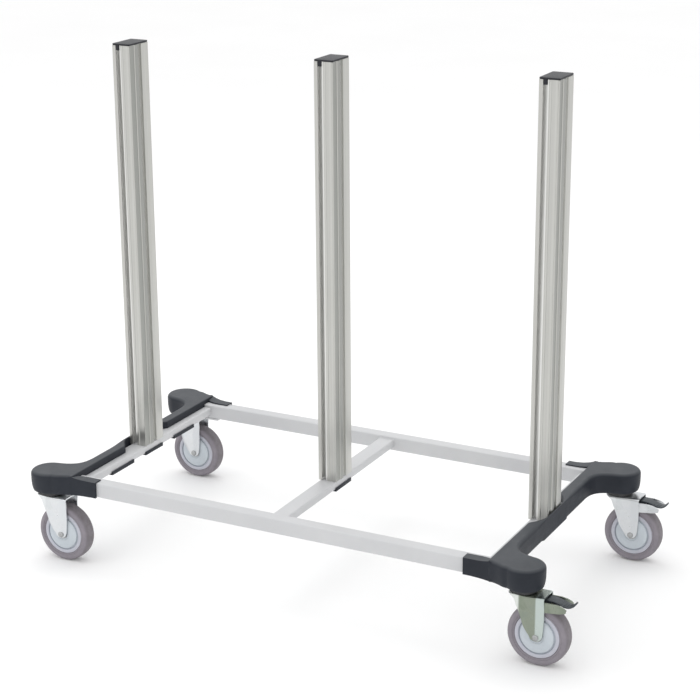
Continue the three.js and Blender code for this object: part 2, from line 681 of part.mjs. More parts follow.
// The pedal is one pressing: a bent plate that narrows to its tip, with an ear down each side at the
// pin, and a shoe over the tyre.
function brakePedal() {
  const [px, pz] = PEDAL_PIVOT;
  const [tipX, tipZ] = PEDAL_TIP;
  const wide = PEDAL_HALF_WIDTH;
  const profile = polygon([
    [33.5, 136.2],
    [40, 138.6],
    [48, 140],
    [56, 141],
    [66, 139.8],
    [77, 136.6],
    [88, 133.4],
    [95, 133],
    [102, 136.6],
    [tipX - 1, tipZ],
    [tipX, tipZ - 3.2],
    [102.5, 133],
    [95, 129.8],
    [88, 130.2],
    [77, 133.4],
    [66, 136.6],
    [56, 137.8],
    [48, 136.8],
    [40, 135.4],
    [34.5, 133],
  ]);
  const plan = polygon([
    [30, -wide],
    [86, -wide],
    [104, -8.5],
    [tipX + 1, -5.5],
    [tipX + 1, 5.5],
    [104, 8.5],
    [86, wide],
    [30, wide],
  ]);
  const plate = toManifold(crosswise(profile, -wide, wide)).intersect(toManifold(upright(plan, 100, 160)));
  const earShape = polygon([
    [33.6, 135],
    [34.6, 128.5],
    [37.5, 126.5],
    [42.5, 126.5],
    [50, 130],
    [60, 135.5],
    [60, 138.6],
    [48, 138.4],
    [40, 137],
  ]);
  const inner = wide - EAR_THICKNESS;
  const ears = [-wide, inner].map((y) => crosswise(earShape, y, y + EAR_THICKNESS));
  const shoe = crosswise(polygon([[63, 124], [70, 121], [70, 136.8], [63, 138.4]]), -inner, inner);
  const pinHole = axleDisc(PIN_RADIUS + GAP, -30, 30, px, pz, 12);
  return combine([toGeometry(plate), ...ears, shoe], [pinHole]);
}

function addCastor(prefix, x, y, braked) {
  const castor = new THREE.Group();
  castor.position.set(x, y, 0);
  assembly.add(castor);
  add(`${prefix}_swivel_head`, swivelHead(), zincPlate, castor);
  add(`${prefix}_fork`, fork(), zincPlate, castor);
  add(`${prefix}_axle_bolt`, axleBolt(), brightSteel, castor);
  add(`${prefix}_axle_nut`, axleNut(), brightSteel, castor);
  add(`${prefix}_wheel_hub`, wheelHub(), hubPlastic, castor);
  add(`${prefix}_wheel_bearing`, wheelBearing(), brightSteel, castor);
  add(`${prefix}_tyre`, tyre(), greyTyre, castor);
  if (!braked) return;
  add(`${prefix}_brake_bracket`, brakeBracket(), zincPlate, castor);
  add(`${prefix}_brake_pin`, brakePin(), brightSteel, castor);
  add(`${prefix}_brake_pedal`, brakePedal(), darkSteel, castor);
}

for (const [endName, end] of ENDS) {
  for (const [sideName, side] of SIDES) {
    addCastor(`${sideName}_${endName}`, end * CASTOR_X, side * CASTOR_Y, end > 0);
  }
}

export default assembly;
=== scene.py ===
"""Looks of the wheeled storage base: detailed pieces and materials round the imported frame."""

import json
import math

import bmesh
import bpy
from mathutils import Matrix, Vector, noise


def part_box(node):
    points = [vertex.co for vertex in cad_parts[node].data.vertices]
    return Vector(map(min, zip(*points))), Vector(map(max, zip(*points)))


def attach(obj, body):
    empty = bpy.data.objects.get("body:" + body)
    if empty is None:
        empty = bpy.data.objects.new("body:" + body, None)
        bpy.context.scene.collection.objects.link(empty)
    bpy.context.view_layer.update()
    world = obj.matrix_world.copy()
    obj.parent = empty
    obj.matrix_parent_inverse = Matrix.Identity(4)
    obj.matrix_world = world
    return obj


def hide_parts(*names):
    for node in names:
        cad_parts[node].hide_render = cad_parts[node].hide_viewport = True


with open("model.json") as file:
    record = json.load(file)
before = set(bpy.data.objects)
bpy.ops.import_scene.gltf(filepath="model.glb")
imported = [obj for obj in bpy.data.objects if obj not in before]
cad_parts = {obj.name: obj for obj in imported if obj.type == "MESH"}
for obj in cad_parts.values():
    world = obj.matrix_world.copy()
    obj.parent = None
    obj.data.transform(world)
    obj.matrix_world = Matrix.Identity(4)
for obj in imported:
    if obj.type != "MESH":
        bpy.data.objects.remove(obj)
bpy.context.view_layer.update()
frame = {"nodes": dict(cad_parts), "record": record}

MM = 0.001
GAP = 0.3  # clearance between pieces that touch


def box_mm(node):
    """The node's box at rest: its lowest and highest corner, in millimetres."""
    lo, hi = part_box(node)
    return [v / MM for v in lo], [v / MM for v in hi]


def middle(node):
    lo, hi = box_mm(node)
    return [(a + b) / 2 for a, b in zip(lo, hi)]


ENDS = {"left": -1, "right": 1}
SIDES = {"front": -1, "rear": 1}
UPRIGHTS = ("left", "middle", "right")
MID_X = middle("middle_upright")[0]

# ---------------------------------------------------------------- materials
# Material coordinates are each piece's own, in metres.


class Finish:
    """A Principled material whose nodes are added a few at a time."""

    def __init__(self, name, **sockets):
        self.material = bpy.data.materials.new(name)
        self.material.use_nodes = True
        self.nodes = self.material.node_tree.nodes
        self.links = self.material.node_tree.links
        self.shader = self.nodes["Principled BSDF"]
        for socket, value in sockets.items():
            self.shader.inputs[socket.replace("_", " ")].default_value = value
        self.coords = self.nodes.new("ShaderNodeTexCoord").outputs["Object"]

    def link(self, source, node, socket):
        """Feeds a socket with another node's output, a number or a colour."""
        if isinstance(source, (int, float)):
            node.inputs[socket].default_value = source
        elif isinstance(source, tuple):
            node.inputs[socket].default_value = (*source, 1)
        else:
            self.links.new(source, node.inputs[socket])

    def stretched(self, scale):
        node = self.nodes.new("ShaderNodeMapping")
        node.inputs["Scale"].default_value = scale
        self.link(self.coords, node, "Vector")
        return node.outputs["Vector"]

    def noise(self, scale, detail=2.0, roughness=0.5, vector=None, distortion=0.0):
        node = self.nodes.new("ShaderNodeTexNoise")
        self.link(scale, node, "Scale")
        self.link(detail, node, "Detail")
        self.link(roughness, node, "Roughness")
        self.link(distortion, node, "Distortion")
        self.link(vector or self.coords, node, "Vector")
        return node.outputs["Fac"]

    def cells(self, scale):
        node = self.nodes.new("ShaderNodeTexVoronoi")
        self.link(scale, node, "Scale")
        self.link(self.coords, node, "Vector")
        return node.outputs["Distance"]

    def ramp(self, source, stops):
        node = self.nodes.new("ShaderNodeValToRGB")
        while len(node.color_ramp.elements) < len(stops):
            node.color_ramp.elements.new(0.5)
        for element, (position, colour) in zip(node.color_ramp.elements, stops):
            element.position = position
            element.color = (*colour, 1)
        self.link(source, node, "Fac")
        return node.outputs["Color"]

    def blend(self, factor, first, second, mode="MIX"):
        """The first colour where the factor is 0, the second where it is 1."""
        node = self.nodes.new("ShaderNodeMix")
        node.data_type = "RGBA"
        node.blend_type = mode
        for source, socket in ((factor, 0), (first, 6), (second, 7)):
            self.link(source, node, socket)
        return node.outputs[2]

    def spread(self, source, low, high, start=0.0, end=1.0):
        """Runs from low to high while the source runs from start to end, and is held outside that."""
        node = self.nodes.new("ShaderNodeMapRange")
        for socket, value in (("From Min", start), ("From Max", end), ("To Min", low), ("To Max", high)):
            self.link(value, node, socket)
        self.link(source, node, "Value")
        return node.outputs["Result"]

    def maths(self, operation, first, second):
        node = self.nodes.new("ShaderNodeMath")
        node.operation = operation
        self.link(first, node, 0)
        self.link(second, node, 1)
        return node.outputs[0]

    def size_of(self, source):
        return self.maths("ABSOLUTE", source, 0.0)

    def bump(self, height, strength, distance):
        """Adds a bump on top of any bump that is already there."""
        node = self.nodes.new("ShaderNodeBump")
        self.link(strength, node, "Strength")
        self.link(distance, node, "Distance")
        self.link(height, node, "Height")
        if self.shader.inputs["Normal"].is_linked:
            self.link(self.shader.inputs["Normal"].links[0].from_socket, node, "Normal")
        self.link(node.outputs["Normal"], self.shader, "Normal")

    def wire(self, source, socket):
        self.link(source, self.shader, socket)

    def roughness(self, low, high, *pattern):
        """Roughness between two values that follows a noise pattern."""
        self.wire(self.spread(self.noise(*pattern), low, high), "Roughness")

    def split(self, vector):
        node = self.nodes.new("ShaderNodeSeparateXYZ")
        self.link(vector, node, "Vector")
        return node.outputs

    def facing(self):
        """The three parts of the surface's normal: Z is 1 where it faces straight up."""
        return self.split(self.nodes.new("ShaderNodeNewGeometry").outputs["Normal"])

    def axial_radius(self):
        """Distance from the piece's own Y axis, in metres."""
        position = self.split(self.coords)
        squares = [self.maths("POWER", self.size_of(position[axis]), 2.0) for axis in ("X", "Z")]
        return self.maths("POWER", self.maths("ADD", *squares), 0.5)


def frame_paint():
    made = Finish("frame_paint", Coat_Weight=0.12, Coat_Roughness=0.25, Specular_IOR_Level=0.45)
    patches = made.noise(5.0, 3.0, 0.6)
    colour = made.ramp(patches, [(0.3, (0.535, 0.54, 0.555)), (0.7, (0.59, 0.595, 0.605))])
    dust = made.spread(made.noise(38.0, 5.0, 0.7), 0.0, 0.10, 0.52, 0.75)
    made.wire(made.blend(dust, colour, (0.50, 0.50, 0.49)), "Base Color")
    made.roughness(0.38, 0.52, 60.0, 4.0)
    made.bump(made.noise(900.0, 2.0, 0.4), 0.10, 0.0002)
    made.bump(made.noise(140.0, 1.0), 0.06, 0.0004)
    return made.material


def anodised_aluminium():
    """Drawn and anodised, with painted shade on the half of each side face that holds the recess, and painted
    light inside the slots.
    """
    made = Finish("anodised_aluminium", Metallic=0.92, Anisotropic=0.35, Specular_IOR_Level=0.5)
    fine = made.noise(1.0, 3.0, 0.6, made.stretched((2600, 2600, 1.5)))
    broad = made.noise(1.0, 2.0, 0.5, made.stretched((320, 320, 0.8)))
    cloud = made.noise(7.0, 3.0, 0.6, made.stretched((1, 1, 0.35)))
    colour = made.ramp(broad, [(0.3, (0.56, 0.56, 0.535)), (0.7, (0.64, 0.64, 0.615))])
    shade = made.ramp(cloud, [(0.25, (0.90, 0.90, 0.89)), (0.75, (1.0, 1.0, 1.0))])
    streaked = made.blend(1.0, colour, shade, "MULTIPLY")
    lines = made.ramp(fine, [(0.3, (0.88, 0.88, 0.88)), (0.65, (1.0, 1.0, 1.0))])
    drawn = made.blend(1.0, streaked, lines, "MULTIPLY")
    # the section is its own half turn, so the sign of X times Y tells the two halves of a side apart
    position = made.split(made.coords)
    half = made.maths("MULTIPLY", position["X"], position["Y"])
    outward = made.spread(made.size_of(made.facing()["X"]), 0.0, 1.0, 0.6, 0.95)
    # painted shade: the half of each side face that holds the recess is darkened
    painted_recess_shade = made.maths("MULTIPLY", outward, made.spread(half, 1.0, 0.0, -0.00006, 0.0))
    with_recess_shade = made.blend(painted_recess_shade, drawn, (0.335, 0.34, 0.322))
    inside_sides = made.spread(made.size_of(position["X"]), 1.0, 0.0, 0.0174, 0.0180)
    behind_face = made.spread(made.size_of(position["Y"]), 1.0, 0.0, 0.0345, 0.0352)
    slot_half = made.spread(half, 0.0, 1.0, 0.00004, 0.00008)
    # painted light: the inside of each slot is paled against the shade that falls there
    painted_slot_light = made.maths("MULTIPLY", slot_half, made.maths("MULTIPLY", inside_sides, behind_face))
    made.wire(made.blend(painted_slot_light, with_recess_shade, (0.80, 0.80, 0.78)), "Base Color")
    made.wire(made.maths("ADD", made.spread(fine, 0.24, 0.38), made.spread(cloud, 0.0, 0.08)), "Roughness")
    made.bump(fine, 0.16, 0.0001)
    made.bump(broad, 0.10, 0.0002)
    return made.material


def grained_plastic(name, dark, light, top, grain=1500.0):
    """Moulded plastic: dark on its sides, with painted top light that gives the upward faces the paler top
    colour, mottled by noise.
    """
    made = Finish(name, Specular_IOR_Level=0.24)
    patches = made.noise(9.0, 4.0, 0.6)
    sides = made.ramp(patches, [(0.3, dark), (0.75, light)])
    # painted top light: the upward faces fade towards the paler top colour
    upward = made.spread(made.facing()["Z"], 0.0, 1.0, 0.45, 0.98)
    painted_top_light = made.maths("MULTIPLY", upward, made.spread(made.noise(14.0, 4.0, 0.65), 0.62, 1.0, 0.3, 0.7))
    colour = made.blend(painted_top_light, sides, top)
    scuffs = made.noise(1.0, 5.0, 0.75, made.stretched((60, 26, 60)), 1.5)
    rubbed = made.spread(scuffs, 0.0, 0.16, 0.62, 0.82)
    scuff_grey = tuple(c * 1.5 + 0.01 for c in top)
    made.wire(made.blend(rubbed, colour, scuff_grey), "Base Color")
    made.roughness(0.42, 0.58, 45.0, 4.0)
    made.bump(made.cells(grain), 0.22, 0.00025)
    made.bump(made.noise(grain * 0.4, 2.0), 0.12, 0.0002)
    return made.material


def zinc_plate(name, tones, speck, trailing, leading):
    """Plated sheet in three tones, with other tints past the fork's crease and a painted highlight at its
    leading edge.
    """
    made = Finish(name, Metallic=1.0, Anisotropic=0.15)
    tint = made.noise(22.0, 3.0, 0.6, distortion=0.6)
    colour = made.ramp(tint, list(zip((0.25, 0.5, 0.75), tones)))
    specks = made.spread(made.cells(420.0), 0.0, 0.10, 0.2, 0.7)
    speckled = made.blend(specks, colour, speck)
    along = made.split(made.coords)["X"]
    past_crease = made.spread(along, 0.0, 0.8, 0.0320, 0.0345)
    on_fork = made.spread(along, 1.0, 0.0, 0.0503, 0.0506)
    creased = made.blend(made.maths("MULTIPLY", past_crease, on_fork), speckled, trailing)
    # painted highlight: the leading edge pales towards the leading tint
    lead = made.spread(along, 0.85, 0.0, -0.0030, 0.0005)
    made.wire(made.blend(lead, creased, leading), "Base Color")
    made.roughness(0.20, 0.40, 70.0, 5.0, 0.65)
    made.bump(made.noise(260.0, 3.0), 0.10, 0.0002)
    return made.material


def bright_steel():
    made = Finish("bright_steel", Metallic=1.0)
    turned = made.noise(1.0, 2.0, 0.5, made.stretched((900, 900, 60)))
    stain = made.noise(60.0, 4.0, 0.7)
    colour = made.ramp(stain, [(0.3, (0.33, 0.335, 0.33)), (0.7, (0.50, 0.51, 0.52))])
    made.wire(colour, "Base Color")
    made.wire(made.maths("ADD", made.spread(turned, 0.18, 0.34), made.spread(stain, 0.0, 0.1)), "Roughness")
    made.bump(turned, 0.08, 0.0001)
    return made.material


def hub_plastic():
    """Pale plastic, with a darker ring of painted shade in the groove between the disc and the rim."""
    made = Finish("hub_plastic", Specular_IOR_Level=0.5)
    zone = made.ramp(
        made.spread(made.axial_radius(), 0.0, 1.0, 0.0, 0.05),
        [
            (0.0, (0.53, 0.58, 0.62)),
            (0.68, (0.55, 0.60, 0.64)),
            # the darkest stop is painted shade in the groove
            (0.74, (0.36, 0.39, 0.44)),
            (0.79, (0.50, 0.51, 0.57)),
            (1.0, (0.53, 0.53, 0.59)),
        ],
    )
    mottle = made.ramp(made.noise(40.0, 4.0, 0.6), [(0.3, (0.90, 0.90, 0.91)), (0.7, (1.0, 1.0, 1.0))])
    base = made.blend(1.0, zone, mottle, "MULTIPLY")
    dirt = made.spread(made.noise(120.0, 5.0, 0.75), 0.0, 0.35, 0.58, 0.8)
    made.wire(made.blend(dirt, base, (0.22, 0.21, 0.21)), "Base Color")
    made.roughness(0.36, 0.52, 90.0, 3.0)
    made.bump(made.noise(700.0, 2.0), 0.08, 0.0002)
    return made.material


def grey_rubber():
    """Grey rubber, darker where the tread picks up grime."""
    made = Finish("grey_rubber", Specular_IOR_Level=0.3, Sheen_Weight=0.08, Sheen_Roughness=0.5)
    patches = made.noise(30.0, 4.0, 0.65)
    colour = made.ramp(patches, [(0.3, (0.215, 0.197, 0.224)), (0.7, (0.280, 0.257, 0.284))])
    tread = made.spread(made.axial_radius(), 0.0, 1.0, 0.0585, 0.0622)
    grime = made.maths("MULTIPLY", tread, made.spread(made.noise(85.0, 5.0, 0.75), 0.25, 1.0, 0.3, 0.7))
    worn = made.blend(made.maths("MULTIPLY", grime, 0.85), colour, (0.135, 0.122, 0.124))
    made.wire(worn, "Base Color")
    made.roughness(0.62, 0.82, 55.0, 3.0)
    made.bump(made.noise(1100.0, 3.0, 0.6), 0.22, 0.0003)
    made.bump(made.noise(180.0, 2.0), 0.12, 0.0004)
    return made.material


def pedal_steel():
    made = Finish("pedal_steel", Metallic=0.55, Specular_IOR_Level=0.5)
    wear = made.noise(1.0, 5.0, 0.7, made.stretched((70, 220, 70)), 0.8)
    colour = made.ramp(
        wear,
        [(0.35, (0.050, 0.058, 0.066)), (0.62, (0.085, 0.095, 0.105)), (0.80, (0.26, 0.27, 0.28))],
    )
    made.wire(colour, "Base Color")
    made.roughness(0.30, 0.50, 110.0, 4.0)
    made.bump(made.noise(420.0, 3.0), 0.14, 0.0002)
    return made.material


def dust_ring_plastic():
    made = Finish("dust_ring_plastic", Specular_IOR_Level=0.4)
    colour = made.ramp(made.noise(50.0, 4.0), [(0.3, (0.018, 0.019, 0.020)), (0.7, (0.045, 0.046, 0.048))])
    made.wire(colour, "Base Color")
    made.roughness(0.45, 0.62, 80.0, 3.0)
    made.bump(made.noise(900.0, 2.0), 0.15, 0.0002)
    return made.material


# the last tint of each plastic is the paler colour of its painted top light
CAP_TINTS = ((0.020, 0.021, 0.026), (0.030, 0.031, 0.037), (0.044, 0.046, 0.052))
MOULDING_TINTS = ((0.013, 0.016, 0.023), (0.023, 0.027, 0.036), (0.074, 0.080, 0.089))
CLEAR_ZINC = {
    "tones": ((0.60, 0.63, 0.64), (0.70, 0.715, 0.73), (0.65, 0.68, 0.71)),
    "speck": (0.50, 0.52, 0.52),
    "trailing": (0.66, 0.68, 0.70),
    # leading: the colour of the painted highlight on the fork's leading edge
    "leading": (0.74, 0.76, 0.77),
}
OLIVE_ZINC = {
    "tones": ((0.205, 0.240, 0.185), (0.275, 0.305, 0.250), (0.235, 0.275, 0.240)),
    "speck": (0.17, 0.19, 0.16),
    "trailing": (0.56, 0.63, 0.61),
    # leading: the colour of the painted highlight on the fork's leading edge
    "leading": (0.76, 0.79, 0.76),
}
FINISH = {
    "frame_paint": frame_paint(),
    "anodised_aluminium": anodised_aluminium(),
    "cap_plastic": grained_plastic("cap_plastic", *CAP_TINTS, 2200.0),
    "moulding_plastic": grained_plastic("moulding_plastic", *MOULDING_TINTS),
    "zinc_plate": zinc_plate("zinc_plate", **CLEAR_ZINC),
    "zinc_passivated": zinc_plate("zinc_passivated", **OLIVE_ZINC),
    "bright_steel": bright_steel(),
    "hub_plastic": hub_plastic(),
    "grey_rubber": grey_rubber(),
    "pedal_steel": pedal_steel(),
    "dust_ring_plastic": dust_ring_plastic(),
}
SLOT_OF = {row["node"]: row["material_slot"] for row in frame["record"]["subparts"]}
PASSIVATED_CASTOR = "front_right"  # the castor whose fork and bracket carry the olive coat
for node_name, node_object in frame["nodes"].items():
    node_object.data.materials.clear()
    passivated = node_name == f"{PASSIVATED_CASTOR}_brake_bracket"
    node_object.data.materials.append(FINISH["zinc_passivated" if passivated else SLOT_OF[node_name]])

# ---------------------------------------------------------------- mesh helpers

STRAIGHT_ANGLE = 0.08  # a bend of fewer radians than this is left sharp
EDGE_SHARE = 0.48  # the largest share of an edge that the rounding at one end may take
CORNER_STEPS = 6


def per_point(value, i):
    return value[i] if isinstance(value, (list, tuple)) else value


def fillet(points, radius, steps=3):
    """A closed outline with its corners rounded. radius is one number or one for each point."""
    made = []
    count = len(points)
    for i, point in enumerate(points):
        here = Vector(point)
        before = Vector(points[i - 1]) - here
        after = Vector(points[(i + 1) % count]) - here
        if abs(math.pi - before.angle(after)) < STRAIGHT_ANGLE:
            made.append(tuple(point))
            continue
        reach = min(per_point(radius, i), before.length * EDGE_SHARE, after.length * EDGE_SHARE)
        start = here + before.normalized() * reach
        end = here + after.normalized() * reach
        for k in range(steps + 1):
            t = k / steps
            made.append(tuple(start * (1 - t) ** 2 + here * (2 * t * (1 - t)) + end * t * t))
    return made


def rounded_rectangle(width, height, radius, centre=(0, 0)):
    w, h = width / 2 - radius, height / 2 - radius
    made = []
    for quarter, (sx, sy) in enumerate(((1, 1), (-1, 1), (-1, -1), (1, -1))):
        for k in range(CORNER_STEPS + 1):
            angle = (quarter + k / CORNER_STEPS) * math.pi / 2
            made.append((
                centre[0] + sx * w + radius * math.cos(angle),
                centre[1] + sy * h + radius * math.sin(angle),
            ))
    return made


def circle(radius, segments):
    return [
        (radius * math.cos(math.tau * k / segments), radius * math.sin(math.tau * k / segments))
        for k in range(segments)
    ]


def skin(rings, caps=True, loop=False):
    """Vertices and faces through closed rings of equally many points; loop joins the last to the first."""
    count = len(rings[0])
    verts = [p for ring in rings for p in ring]
    faces = []
    for k in range(len(rings) if loop else len(rings) - 1):
        a, b = k * count, ((k + 1) % len(rings)) * count
        for i in range(count):
            j = (i + 1) % count
            faces.append((a + i, a + j, b + j, b + i))
    if caps and not loop:
        last = (len(rings) - 1) * count
        faces.append(tuple(reversed(range(count))))
        faces.append(tuple(range(last, last + count)))
    return verts, faces


def merged(*parts):
    verts, faces = [], []
    for part_verts, part_faces in parts:
        faces += [tuple(i + len(verts) for i in face) for face in part_faces]
        verts += part_verts
    return verts, faces


def clean(mesh, merge_distance, shortest_edge):
    work = bmesh.new()
    work.from_mesh(mesh)
    bmesh.ops.remove_doubles(work, verts=work.verts, dist=merge_distance)
    bmesh.ops.dissolve_degenerate(work, edges=work.edges, dist=shortest_edge)
    bmesh.ops.recalc_face_normals(work, faces=work.faces)
    work.to_mesh(mesh)
    work.free()


def mesh_of(name, shape, finish, angle=32):
    """A mesh in metres from a shape in millimetres; edges sharper than the angle stay sharp."""
    verts, faces = shape
    mesh = bpy.data.meshes.new(name)
    mesh.from_pydata([Vector(v) * MM for v in verts], [], faces)
    clean(mesh, 2e-6, 1e-6)
    mesh.materials.append(FINISH[finish])
    smooth(mesh, angle)
    return mesh


def smooth(mesh, angle):
    mesh.shade_smooth()
    mesh.set_sharp_from_angle(angle=math.radians(angle))


def add_object(name, data):
    made = bpy.data.objects.new(name, data)
    bpy.context.scene.collection.objects.link(made)
    return made


def place(name, mesh, body, at=(0, 0, 0), slot=None, stands_for=()):
    """Puts a visible piece on a body and hides the CAD nodes that it stands for. The slot is not used."""
    made = add_object(name, mesh)
    made.location = Vector(at) * MM
    bpy.context.view_layer.update()
    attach(made, body)
    if stands_for:
        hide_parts(*stands_for)
    return made


def along(axis, loop, *levels):
    """Rings at levels along an axis: the loop holds the other two axes of each point."""
    return [[(*point[:axis], level, *point[axis:]) for point in loop] for level in levels]


def offset_loop(loop, distance):
    """A closed loop, given anticlockwise, moved inwards. distance is one number or one for each point."""
    made = []
    count = len(loop)
    for i in range(count):
        a = Vector(loop[i]) - Vector(loop[i - 1])
        b = Vector(loop[(i + 1) % count]) - Vector(loop[i])
        a, b = a.normalized(), b.normalized()
        normal = Vector((-(a.y + b.y), a.x + b.x)).normalized()
        stretch = per_point(distance, i) / max(0.6, -a.y * normal.x + a.x * normal.y)
        made.append((loop[i][0] + normal.x * stretch, loop[i][1] + normal.y * stretch))
    return made


def rounded_prism(loop, low, high, edge, axis=2, steps=2):
    """A prism along Y (axis 1) or Z (axis 2) with rounded rims; loop is anticlockwise in the other two."""
    angles = [math.pi / 2 * k / steps for k in range(steps + 1)]
    rims = [(edge * (1 - math.sin(angle)), edge * (1 - math.cos(angle))) for angle in angles]
    levels = [(inset, low + rise) for inset, rise in rims]
    levels += [(inset, high - rise) for inset, rise in reversed(rims)]
    return skin([along(axis, offset_loop(loop, inset), level)[0] for inset, level in levels])


def wheel_part(half, segments):
    """Half of a profile of (radius, y) points, mirrored in y and turned about the Y axis."""
    profile = half + [(r, -y) for r, y in reversed(half)]
    rings = []
    for k in range(segments):
        angle = 2 * math.pi * k / segments
        rings.append([(r * math.sin(angle), y, r * math.cos(angle)) for r, y in profile])
    return skin(rings, loop=True)


def lathe_z(profile, segments=64):
    """A profile of (radius, z) points, from the axis to the axis, turned about the Z axis."""
    return skin([[(x, y, z) for x, y in circle(r, segments)] for r, z in profile], caps=False)


# each level's height as a share of the head's, and its greatest radius as a share of the corner's
HEX_CHAMFER = ((0.0, 1.01), (0.3, 1.01), (0.62, 1.01), (0.86, 0.93), (1.0, 0.84))
HEX_SEGMENTS = 48


def hex_head(corner_radius, height, turn):
    """A hexagon on the plane w = 0 with a chamfered top; turn maps (u, v, w) to the piece's axes."""
    rings = []
    for level, share in HEX_CHAMFER:
        ring = []
        for k in range(HEX_SEGMENTS):
            angle = 2 * math.pi * k / HEX_SEGMENTS
            from_flat = (angle + math.pi / 6) % (math.pi / 3) - math.pi / 6
            reach = corner_radius * math.cos(math.pi / 6) / math.cos(from_flat)
            r = min(reach, corner_radius * share)
            ring.append(turn(r * math.cos(angle), r * math.sin(angle), level * height))
        rings.append(ring)
    return skin(rings)


# ---------------------------------------------------------------- base frame

TUBE_WALL = 2.0
RAIL_CORNER, CROSS_CORNER = 3.4, 3.0
CORNER_LESS_INSIDE = 1.4  # the inner corner's radius is this much smaller than the outer one's


BEAD_STEP = 0.5
BEAD_SIDES = 12
BEAD_TAPER = 4  # rings over which an end of the bead narrows


def weld_bead(path, radius, name, seed):
    """A rippled bead along a path of points."""
    points = []
    for a, b in zip(path, path[1:]):
        steps = max(1, round((Vector(b) - Vector(a)).length / BEAD_STEP))
        points += [Vector(a).lerp(Vector(b), k / steps) for k in range(steps)]
    points.append(Vector(path[-1]))
    rings = []
    walked = 0.0
    for i, point in enumerate(points):
        before, after = points[max(0, i - 1)], points[min(len(points) - 1, i + 1)]
        tangent = (after - before).normalized()
        side = tangent.cross(Vector((0.3, 0.2, 1))).normalized()
        up = side.cross(tangent)
        walked += (point - before).length
        uneven = noise.noise(point * 0.25 + Vector((seed, 0, 0)))
        ripple = 1 + 0.10 * abs(math.sin(walked * 1.5)) + 0.12 * uneven
        end = min(i, len(points) - 1 - i)
        size = radius * ripple * math.sqrt(min(1.0, (end + 0.4) / BEAD_TAPER))
        rings.append([tuple(point + side * u + up * v) for u, v in circle(size, BEAD_SIDES)])
    return mesh_of(name, skin(rings), "frame_paint", 60)


def weld_path(lo, hi, y):
    """Up one side of a cross tube's end, over its top and down the other side."""
    rising = [(-0.2, lo[2] + 3), (-0.2, hi[2] - 2.6), (0.7, hi[2] - 0.7), (2.6, hi[2] + 0.1)]
    return [(lo[0] + u, y, z) for u, z in rising] + [(hi[0] - u, y, z) for u, z in reversed(rising)]


def place_tube(name, node, axis, corner):
    """A hollow tube along X (axis 0) or Y (axis 1) that stands for a CAD node."""
    lo, hi = box_mm(node)
    across = 1 - axis
    centre = ((lo[across] + hi[across]) / 2, (lo[2] + hi[2]) / 2)
    width, height = hi[across] - lo[across], hi[2] - lo[2]
    outer = rounded_rectangle(width, height, corner, centre)
    inner_corner = corner - CORNER_LESS_INSIDE
    inner = rounded_rectangle(width - 2 * TUBE_WALL, height - 2 * TUBE_WALL, inner_corner, centre)
    rings = along(axis, outer, lo[axis], hi[axis]) + along(axis, inner, hi[axis], lo[axis])
    mesh = mesh_of(name, skin(rings, loop=True), "frame_paint", 32)
    place(name, mesh, "base_frame", (0, 0, 0), "frame_paint", [node])
    return lo, hi


for side_name in SIDES:
    place_tube(f"{side_name}_rail_tube", f"{side_name}_long_rail", 0, RAIL_CORNER)

for upright_name in UPRIGHTS:
    lo, hi = place_tube(f"{upright_name}_cross_member", f"{upright_name}_cross_tube", 1, CROSS_CORNER)
    if upright_name != "middle":
        continue  # the mouldings cover the welds of the other two
    for side_name, side in SIDES.items():
        name = f"{upright_name}_{side_name}_weld"
        bead = weld_bead(weld_path(lo, hi, side * (hi[1] - GAP)), 1.5, name, len(name))
        place(name, bead, "base_frame", slot="frame_paint")

# ---------------------------------------------------------------- uprights

POST_HALF = (21.5, 35.5)
POST_CORNER, POST_EDGE = 1.5, 0.45
SLOT_DEPTH = 11
CAP_THICKNESS = 3.7
TAB_HEIGHT = 14
CLIP_WALL, CLIP_FLOOR = 2.3, 3
WASHER = 1.2  # thickness of the washer under a foot bolt's head


def post_half_outline():
    """Half of the section: the front face with its slot, then the right side with its recess and groove."""
    hx, hy = POST_HALF
    return [
        (-hx, -hy), (-13, -hy), (-13, -hy + 2.5), (-17, -hy + 2.5), (-17, -hy + SLOT_DEPTH),
        (-0.5, -hy + SLOT_DEPTH), (-0.5, -hy + 3.7), (-4, -hy + 3.7), (-4, -hy + 1.2), (0, -hy + 1.2),
        (0.8, -hy), (4.2, -hy), (5, -hy + 1.2), (hx - 4.2, -hy + 1.2), (hx - 3, -hy), (hx, -hy),
        (hx, -32.5), (hx - 2, -31.5), (hx - 2, -16), (hx, -15),
        (hx, -3), (hx - 8, -2), (hx - 8, 8), (hx, 9),
    ]


def post_loop():
    half = post_half_outline()
    radii = [POST_CORNER if (abs(x), abs(y)) == POST_HALF else POST_EDGE for x, y in half]
    return fillet(half + [(-x, -y) for x, y in half], radii + radii, 3)


def cap_mesh(name, top):
    """A plate over the whole section, with a tab that hangs in each slot."""
    outline = rounded_rectangle(2 * POST_HALF[0], 2 * POST_HALF[1], 3.2)
    parts = [rounded_prism(outline, top - CAP_THICKNESS, top, 1.1, steps=4)]
    tab = fillet([(-12.3, -35.9), (-4.7, -35.9), (-4.7, -28.5), (-12.3, -28.5)], 0.8, 3)
    for half_turn in (1, -1):
        loop = [(half_turn * u, half_turn * v) for u, v in tab]
        parts.append(rounded_prism(loop, top - TAB_HEIGHT, top - CAP_THICKNESS + GAP, 0.7))
    return mesh_of(name, merged(*parts), "cap_plastic", 40)


